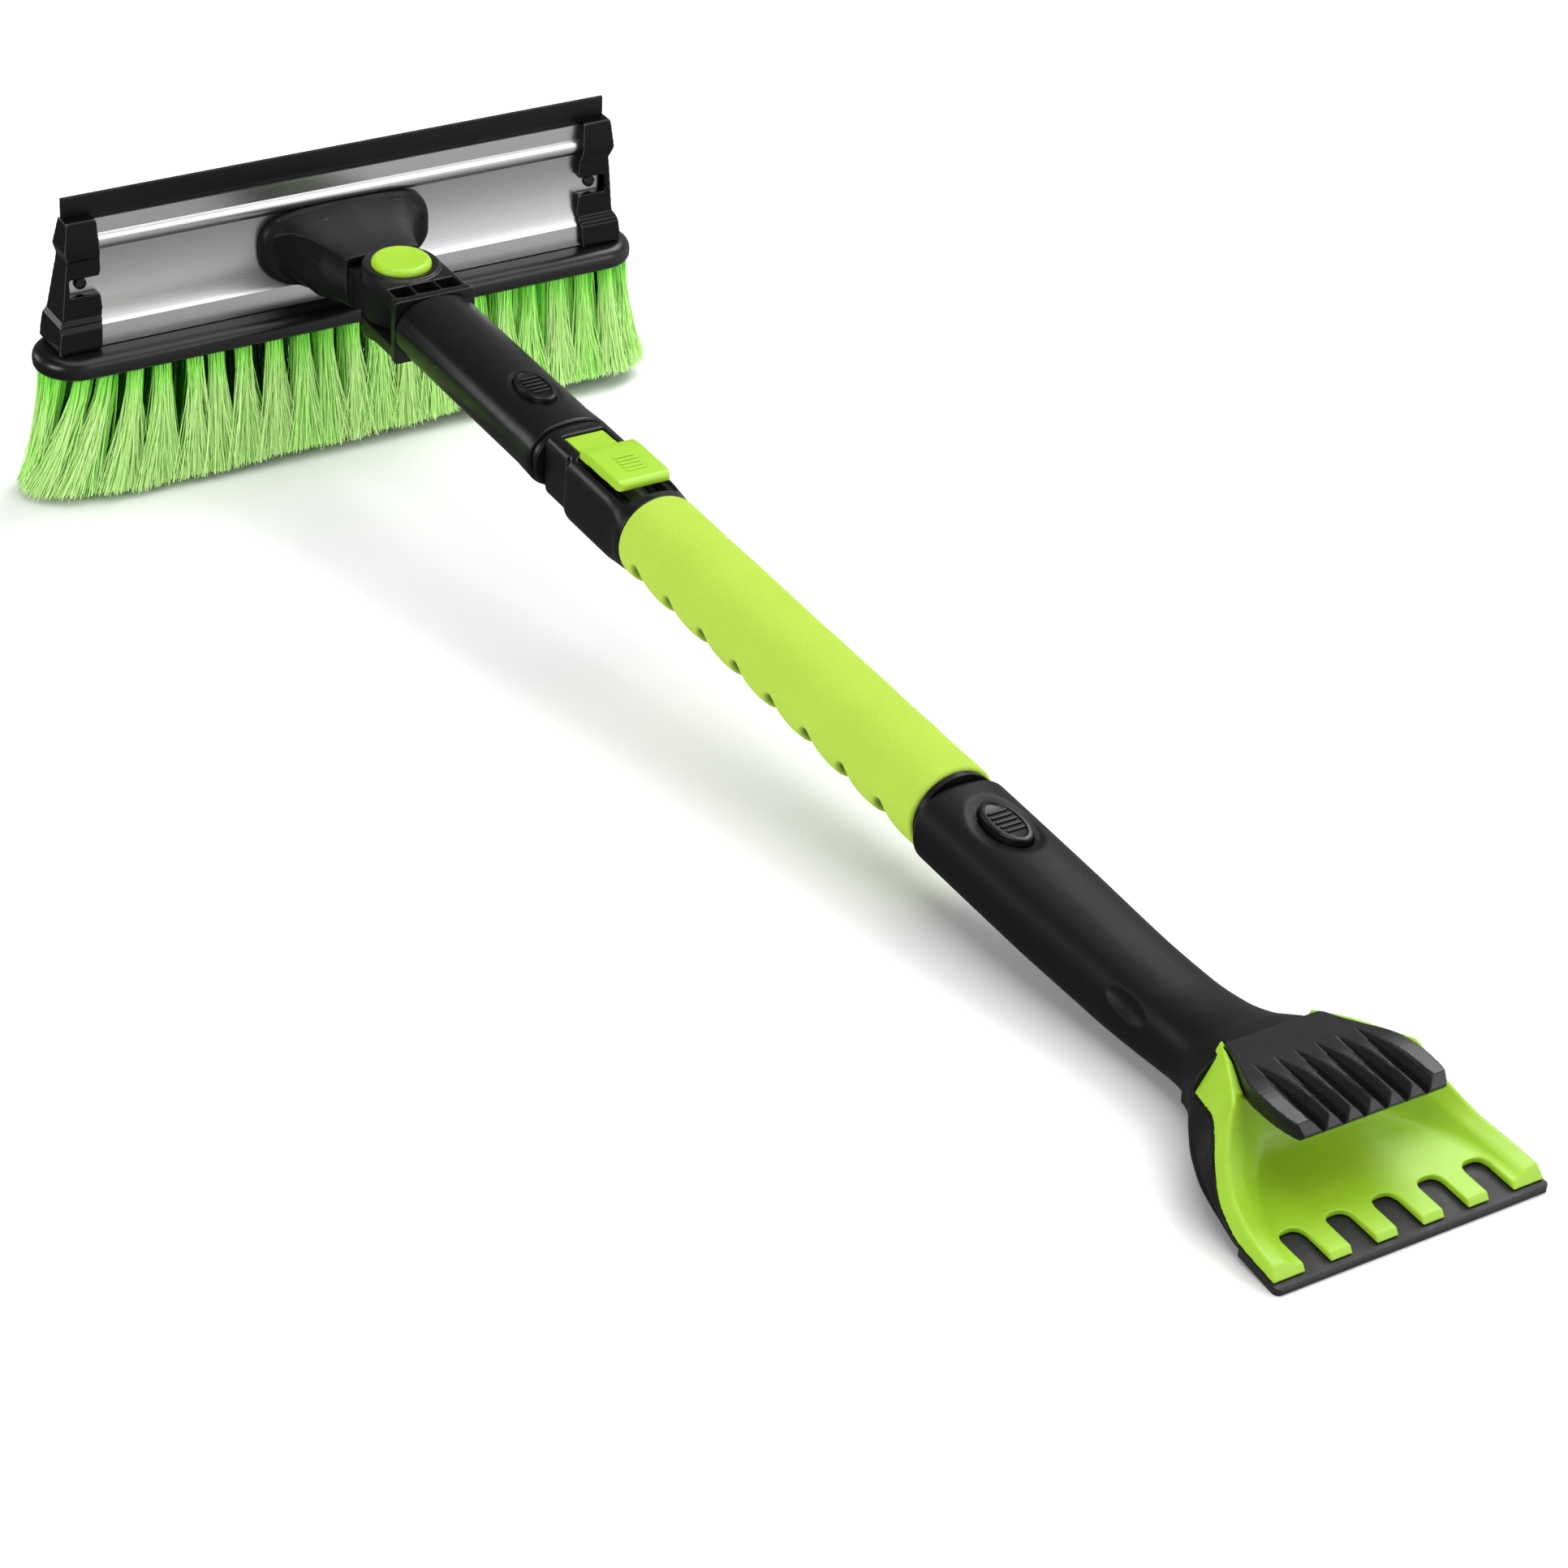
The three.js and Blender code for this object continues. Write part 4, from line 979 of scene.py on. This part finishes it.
lever_side = [
    (164.9, 13.2), (177, 13.2), (182, 12.9), (184, 15.6), (215, 16.4), (216.6, 17.2),
    (216.6, 19.6), (214.8, 20.9), (205, 21.0), (190, 20.8), (184.6, 20.0), (182.2, 17.2),
    (178.5, 15.2), (170, 14.8), (164.9, 14.6),
]
lever_plan = [
    (164.9, -9.0), (181.4, -9.0), (182.4, -11.9), (216.8, -11.9),
    (216.8, 11.9), (182.4, 11.9), (181.4, 9.0), (164.9, 9.0),
]
side_radii = [0.6, 1, 1, 1, 1, 1, 1, 1.4, 3, 3, 1.8, 1.2, 1.4, 2, 0.5]
plan_radii = [0.6, 0.8, 2.2, 3.4, 3.4, 2.2, 0.8, 0.6]
lever = prism(rounded(lever_side, side_radii, 4), "y", -13, 13)
common(lever, prism(rounded(lever_plan, plan_radii, 6), "z", 5, 30))
fuse(lever, rod("y", PIN_X, 12.4, 2.3, -8.9, 8.9, 40))
cut(
    lever, rod("y", PIN_X, PIN_Z, PIN_R + 0.3, -30, 30, 32), rod("z", 193, 0, 4.2, 10, 18.2, 40),
    cuboid(180, 184.6, 9.2, 14, 10, 15), cuboid(180, 184.6, -14, -9.2, 10, 15),
)
soften(lever, 0.35, 3, 0.4)
for i in range(5):
    fuse(lever, rib(197.6 + i * 2.7, 0.7, 4.7, 0.6, 20.0, 21.6, 0.35))
piece("lever", lever, "lever", "lime_plastic", "lock_lever", 50)
spring("coil_lever", "shaft", 193, 12.5, 17.9, 3.2, 0.8, 4, "lever_spring")
shoe = cut(cuboid(165.6, 175.6, -6, 6, 8.6, 12.8), rod("x", 0, 0, 9.85, 150, 190, 64))
piece("shoe", bevel(shoe, 0.3), "lever", "black_rubber", "brake_shoe")

# ---- extension tube and foam
piece("tube_outer", pipe(200.4, 456.5, 11.3, 10.1), "shaft", "aluminium_tube", "outer_tube", 40)

FOAM_R, END_R = 18.5, 1.6
FIRST_SCALLOP, SCALLOP_PITCH, SCALLOPS = 241, 25.6, 8
foam_rows = []
for a in np.linspace(0, 1.4, 5):
    foam_rows.append((227.4 + END_R * (1 - cos(a)), END_R * (1 - sin(a))))
foam_rows += [(x, 0.0) for x in steps(229.4, 439.2, 0.8)]
for a in np.linspace(1.4, 0, 5):
    foam_rows.append((441.2 - END_R * (1 - cos(a)), END_R * (1 - sin(a))))
foam = loft_rows(foam_rows, lambda x, i: superellipse(FOAM_R - i, FOAM_R - i, 2, 0, 160))


def finger_recess(co):
    """How far each point lies inside the oval finger recesses under the grip, 0 to 1."""
    x, y, z = co[:, 0], co[:, 1], co[:, 2]
    down = np.arctan2(np.abs(y), -z)
    inside = np.zeros(len(co))
    for i in range(SCALLOPS):
        away = np.hypot((x - FIRST_SCALLOP - i * SCALLOP_PITCH) / 8.6, down / 1.52)
        inside = np.maximum(inside, 1 - smooth_step(0.86, 1.0, away))
    return inside


def finger_grooves(co):
    """Scallops under the grip, an oval recess in each, and a slightly uneven skin."""
    x, y, z = co[:, 0], co[:, 1], co[:, 2]
    radius = np.hypot(y, z)
    under = smooth_step(0.1, 0.8, -z / np.maximum(radius, 1e-6))
    ends = smooth_step(229, 240, x) * (1 - smooth_step(430, 440, x))
    sink = 0.5 * (1 + np.cos(2 * np.pi * (x - FIRST_SCALLOP) / SCALLOP_PITCH)) * under * ends
    sink += 2.4 * finger_recess(co)
    wobble = 0.1 * np.sin(x / 7.0 + 3 * np.arctan2(z, y)) * np.sin(x / 19.0)
    factor = 1 - (sink + wobble) / np.maximum(radius, 1e-6)
    co[:, 1] *= factor
    co[:, 2] *= factor
    return co


# This recess mask also paints shade into the finger recesses, through the foam's attribute.
recess = finger_recess(np.array([v.co[:] for v in foam.data.vertices]))
foam.data.attributes.new("recess_shade", "FLOAT", "POINT").data.foreach_set("value", recess)
move_points(foam, finger_grooves)
cut(foam, rod("x", 0, 0, 11.6, 200, 460, 64))
grip = piece("grip", foam, "shaft", "foam", "foam_grip", 60)

plug = prism(superellipse(16.8, 12.9, TUBE_N, -0.8, 96), "x", 444.2, 527)
fuse(plug, prism(oval(0, 0, 17.2, 17.2, 96), "x", 441.7, 444.3))
cut(
    plug, prism(superellipse(14.8, 10.9, TUBE_N, -0.8, 64), "x", 456.9, 528),
    rod("x", 0, 0, 11.6, 430, 528, 64), latch_hole(SCRAPER_LATCH_X, -0.8),
)
piece("plug_scraper", plug, "shaft", "satin_black", "scraper_coupling", 40)
made = latch_button(SCRAPER_LATCH_X, 16.6)
piece("button_scraper", made, "scraper_latch", "satin_black", "scraper_latch_button", 35)
spring(
    "coil_scraper", "shaft", SCRAPER_LATCH_X, -11.4, 9, 3.6, 0.9, 6,
    "scraper_latch_spring",
)

# ---- scraper
neck_shape = curve_through([
    # x, half-width, top, bottom, exponent
    [444.6, 18.9, 14.1, -15.7, 2.4], [445.2, 19.6, 14.8, -16.4, 2.4],
    [446.6, 20, 15.2, -16.8, 2.4], [505, 19.6, 15.2, -16.8, 2.4],
    [550, 18.2, 15.4, -16.2, 2.45], [578, 17.9, 16.4, -13.8, 2.5],
    [596, 18.8, 18.8, -10.8, 2.5], [608, 21.4, 22, -8.4, 2.5],
    [617, 25.4, 26, -6.4, 2.6], [626, 31, 29.4, -4.6, 2.7],
])
# The outside of the tray (flank), its joint with the scoop (seam) and the scoop's rim (crest):
# x, half-width, height.
flank = curve_through([
    [610, 22, -2], [622, 28.5, 6], [634, 37.5, 10.5], [646, 45, 10.5], [658, 49.8, 8.5],
    [670, 52, 5.5], [684, 53.6, 2.2], [706, 55, 1.8],
])
seam = curve_through([
    [610, 20, 6], [622, 28, 12], [634, 33.5, 17], [646, 38.5, 20.5], [652, 42, 18.5],
    [658, 45.5, 13], [670, 50.8, 6.6], [684, 53.2, 3], [706, 54.8, 2.6],
])
crest = curve_through([
    [622, 18.2, 29.4], [637, 27.4, 31.8], [652, 36.8, 32], [658, 41.5, 24.5],
    [664, 45.7, 17.8], [676, 50.2, 11.4], [690, 53.2, 9], [706, 54.4, 7.6],
])
underside = curve_through([[600, -8], [622, -5], [640, -2.6], [664, -1.1], [706, -0.7]])
dish = curve_through([
    # x, half-width and height of the floor's side, half-width and height of the wall's top
    [649, 20, 18, 24, 24], [652.5, 24, 11.5, 29, 21], [658, 28.5, 7.4, 34, 18],
    [664, 33.5, 6.2, 38.6, 14], [676, 39.5, 5.8, 43.4, 9.8], [690, 43.2, 5.9, 46.4, 8.2],
    [706, 45.2, 6.2, 48, 7.2],
])
COMB_FRONT, BLADE_REAR = 703.2, 683.4
NOTCH_PITCH, NOTCH_HALF = 18.5, 4.9


def tray_half(x, grow):
    w, zw = flank(x)
    wg, zg = seam(x)
    z = underside(x)[0] - grow
    floor_half, dish_z = dish(x)[:2]
    inner = min(floor_half + 1, wg - 4)
    return [
        (1, z), (w - 8, z), (w - 1.2 + grow, (z + zw) / 2), (w + grow, zw),
        (wg + 0.2, zg + grow), (wg - 2.6, zg + grow), (inner, dish_z - 3.2 + grow),
        (1, dish_z - 3.2 + grow),
    ]


TRAY_RADII = (0.2, 6, 3, 2.4, 0.6, 0.6, 2, 0.2)


def tray(grow=0.0):
    return half_loft(steps(612 - grow, 683 + grow, 1.5), lambda x: tray_half(x, grow), TRAY_RADII)


def neck_solid(grow=0.0):
    change = (grow, grow, -grow, 0)
    xs = steps(600 if grow else 444.6, 626, 2.0)
    return loft_x([[x, *(neck_shape(x) + change)] for x in xs], 112)


def chipper_blank(grow=0.0):
    side = [
        (624.6 - grow, 27.2 - grow), (646, 28.4 - grow), (656, 29.8 - grow), (677, 31.6 - grow),
        (678.4 + grow, 33.8), (675 + grow, 37.4 + grow), (655, 36.6 + grow),
        (641, 33.6 + grow), (624.6 - grow, 30.2 + grow),
    ]
    half_plan = [
        (624.6 - grow, 19.6), (632, 21.6), (640, 25.2), (647, 28.6), (654, 30.6), (664, 31.2),
        (672, 30.6), (677, 29.2), (680, 27.6),
    ]
    plan = [(x, -y - grow) for x, y in half_plan] + [(x, y + grow) for x, y in half_plan[::-1]]
    soft = 0.5 if grow else 1.2
    made = prism(rounded(side, [soft, 6, 6, 0.4, 0.4, 0.4, 9, 9, soft], 6), "y", -33, 33)
    return common(made, prism(rounded(plan, 3.2, 6), "z", 20, 45))


def scraper_boss(grow=0.0):
    outline = rectangle(620, 646 + grow, -17 - grow, 17 + grow, 3)
    return prism(outline, "z", -2, 26.6 + grow)


body = neck_solid()
move_points(body, lambda co: latch_dish(co, SCRAPER_LATCH_X, 5.5, 1.3))
fuse(body, tray(), scraper_boss())
socket_rows = [[434, 17.2, 12.5, -14.1, 2.4], [535, 17.2, 12.5, -14.1, 2.4]]
socket_rows += [[576, 14.4, 12.6, -10, 2.4], [600, 14.4, 15, -6.4, 2.4]]
cut(
    body, loft_x(socket_rows, 64), latch_hole(SCRAPER_LATCH_X, 0), chipper_blank(GAP),
    cuboid(674.6, 690, -50.4, 50.4, 0.6, 2.4), ellipsoid(571, -21.2, 9.2, 16, 6.4, 7.4, 48),
)
soften(body, 0.75, 3, 0.5)
piece("scraper_shell", body, "shaft", "charcoal_plastic", "scraper_body", 60)


def scoop_half(x):
    wg, zg = seam(x)
    yc, zc = crest(x)
    flat = min(26.9, zc - 0.5)
    return [(1, 1), (wg - 4, 1), (wg, zg), (yc, zc), (17, flat), (1, flat)]


def cavity_half(x):
    yf, zf, yt, zt = dish(x)
    yc, zc = crest(x)
    top = max(zc, zt + 0.3)
    rim = max(yc - 1.4, yt + 0.4)
    return [(1, zf), (yf, zf), (yt, zt), (rim, top), (rim, 50), (1, 50)]


scoop = half_loft(steps(622.3, COMB_FRONT, 1.2), scoop_half, (0.2, 0.5, 1.0, 0.9, 1, 0.2))
cavity = half_loft(steps(649, 706, 1.2), cavity_half, (0.2, 3.4, 1.6, 0.6, 0.3, 0.2), 6)
notches = []
for i in range(-2, 3):
    y = i * NOTCH_PITCH
    outline = rectangle(686, 723, y - NOTCH_HALF, y + NOTCH_HALF, NOTCH_HALF, 10)
    notches.append(prism(outline, "z", 2, 20))
tip_chamfer = prism([(699.6, 20), (706, 20), (706, 3.5), (703.2, 3.5), (699.6, 8.2)], "y", -60, 60)
cut(
    scoop, cavity, tray(GAP), scraper_boss(GAP), neck_solid(GAP), chipper_blank(GAP),
    cuboid(BLADE_REAR - GAP, 720, -60, 60, -5, 3.6), cuboid(674.6, 690, -50.4, 50.4, 0, 2.4),
    tip_chamfer, *notches,
)
soften(scoop, 0.48, 2, 0.5)
piece("scoop", scoop, "shaft", "lime_plastic", "scraper_scoop", 60)

edge_side = [(BLADE_REAR, -0.2), (702, 0.2), (706, 0.6), (706, 2.6), (705, 3.2), (BLADE_REAR, 3.2)]
edge_plan = [(BLADE_REAR, -53.4), (704.5, -55), (706, -53.5)]
edge_plan += [(706, 53.5), (704.5, 55), (BLADE_REAR, 53.4)]
edge = prism(rounded(edge_side, 0.5, 3), "y", -56, 56)
common(edge, prism(rounded(edge_plan, 0.8, 3), "z", -5, 10))
fuse(edge, cuboid(675, 684, -50, 50, 1, 2))
piece("scraper_edge", edge, "shaft", "black_rubber", "scraper_blade", 30, "blade_rubber")

GROOVE_PITCH = 8.3
GROOVE_ROWS = (
    # x, half-width, bottom, top
    (640.2, 0.15, 33.3, 33.6), (648, 1.9, 33.0, 35.1), (656, 3.7, 32.6, 36.4),
    (664, 4.15, 32.2, 36.75), (682, 4.15, 32.0, 37.2),
)


def groove(y):
    """A groove that widens forwards, sharp at the bottom, with the ribs beside it rounded."""
    rings = []
    for x, half, low, high in GROOVE_ROWS:
        ring = []
        for k in range(-8, 9):
            away = abs(k) / 8
            ring.append((x, y + half * k / 8, high - (high - low) * (1 - away) ** 1.6))
        rings.append(ring + [(x, y + half, high + 5), (x, y - half, high + 5)])
    return loft(rings)


chipper = chipper_blank()
cut(chipper, *[groove((i - 2.5) * GROOVE_PITCH) for i in range(6)])
cut(chipper, prism([(677, 39), (680, 39), (680, 35.2), (678.2, 35.6)], "y", -32, 32))
soften(chipper, 0.3, 1, 0.4)
piece("chipper", chipper, "shaft", "charcoal_plastic", "ice_chipper", 60, "chipper")

# ---- stage, light and camera
floor_material, tree, shader = shading("studio_floor")
tint = noise(tree, coordinates(tree), 1.2, 2)
paint = ramp(tree, tint, [(0.3, (0.93, 0.93, 0.93)), (0.7, (0.945, 0.945, 0.945))])
tree.links.new(paint, shader.inputs["Base Color"])
shader.inputs["Roughness"].default_value = 0.9
shader.inputs["Specular IOR Level"].default_value = 0.1
FLOOR_REACH = 20.0
corners = [(x * FLOOR_REACH, y * FLOOR_REACH, floor_z) for x, y in rectangle(-1, 1, -1, 1)]
floor_mesh = bpy.data.meshes.new("floor")
floor_mesh.from_pydata(corners, [], [(0, 1, 2, 3)])
floor_mesh.materials.append(floor_material)
floor = add_object("floor", floor_mesh)
floor.visible_glossy = False

# The sky is brightest towards (+X, +Y) at the horizon, and dims towards the top and the bottom.
world = bpy.data.worlds.new("studio")
world.use_nodes = True
tree = world.node_tree
direction = node(tree, "TexCoord", "Generated")
side = node(tree, "VectorMath", "Value", {0: direction, 1: (0.33, 0.40, 0)}, operation="DOT_PRODUCT")
steep = node(tree, "VectorMath", "Vector", {0: direction}, operation="ABSOLUTE")
height = node(tree, "VectorMath", "Value", {0: steep, 1: (0, 0, -0.28)}, operation="DOT_PRODUCT")
level = node(tree, "Math", "Value", {0: side, 1: height}, operation="ADD")
centred = node(tree, "Math", "Value", {0: level, 1: 0.5}, operation="ADD")
greys = [
    (0.0, (0.11, 0.11, 0.112)), (0.28, (0.14, 0.14, 0.142)), (0.42, (0.30, 0.30, 0.305)),
    (0.58, (0.40, 0.40, 0.405)), (0.76, (0.58, 0.58, 0.59)), (0.94, (1.05, 1.05, 1.06)),
]
backdrop = tree.nodes["Background"]
tree.links.new(ramp(tree, centred, greys), backdrop.inputs["Color"])
backdrop.inputs["Strength"].default_value = 1.0
SCENE.world = world


def softbox(name, position, target, size, power):
    data = bpy.data.lights.new(name, "AREA")
    data.shape = "RECTANGLE"
    data.size, data.size_y = size
    data.energy = power
    lamp = add_object(name, data)
    lamp.location = position
    lamp.rotation_euler = (Vector(target) - Vector(position)).to_track_quat("-Z", "Y").to_euler()


softbox("key", (-0.8, 2.0, 2.5), (0, 0, 0), (1.8, 1.3), 50)
softbox("top", (0.1, 0.4, 3.0), (0, 0, 0), (3.0, 3.0), 66)
softbox("front", (2.2, 1.5, 1.3), (-0.35, 0, 0.1), (1.6, 1.7), 22)
softbox("side", (0.3, -2.5, 0.9), (-0.1, 0, 0.1), (1.6, 1.0), 39)
softbox("rear", (-2.3, -1.7, 0.7), (-0.35, 0, 0.1), (1.2, 0.9), 10)

camera_data = bpy.data.cameras.new("camera")
camera_data.sensor_width = 36.0
camera_data.lens = 88.0
camera_data.shift_y = -0.0018
camera = add_object("camera", camera_data)
camera_right = Vector((0.51933, 0.85221, 0.06344))
camera_down = Vector((0.50867, -0.24862, -0.82428))
camera_ahead = Vector((-0.68669, 0.46035, -0.56261))
turn = Matrix((camera_right, -camera_down, -camera_ahead)).transposed().to_4x4()
camera.matrix_world = TOOL @ Matrix.Translation((1.35443, -0.68596, 0.78353)) @ turn
SCENE.camera = camera
SCENE.view_settings.view_transform = "Standard"
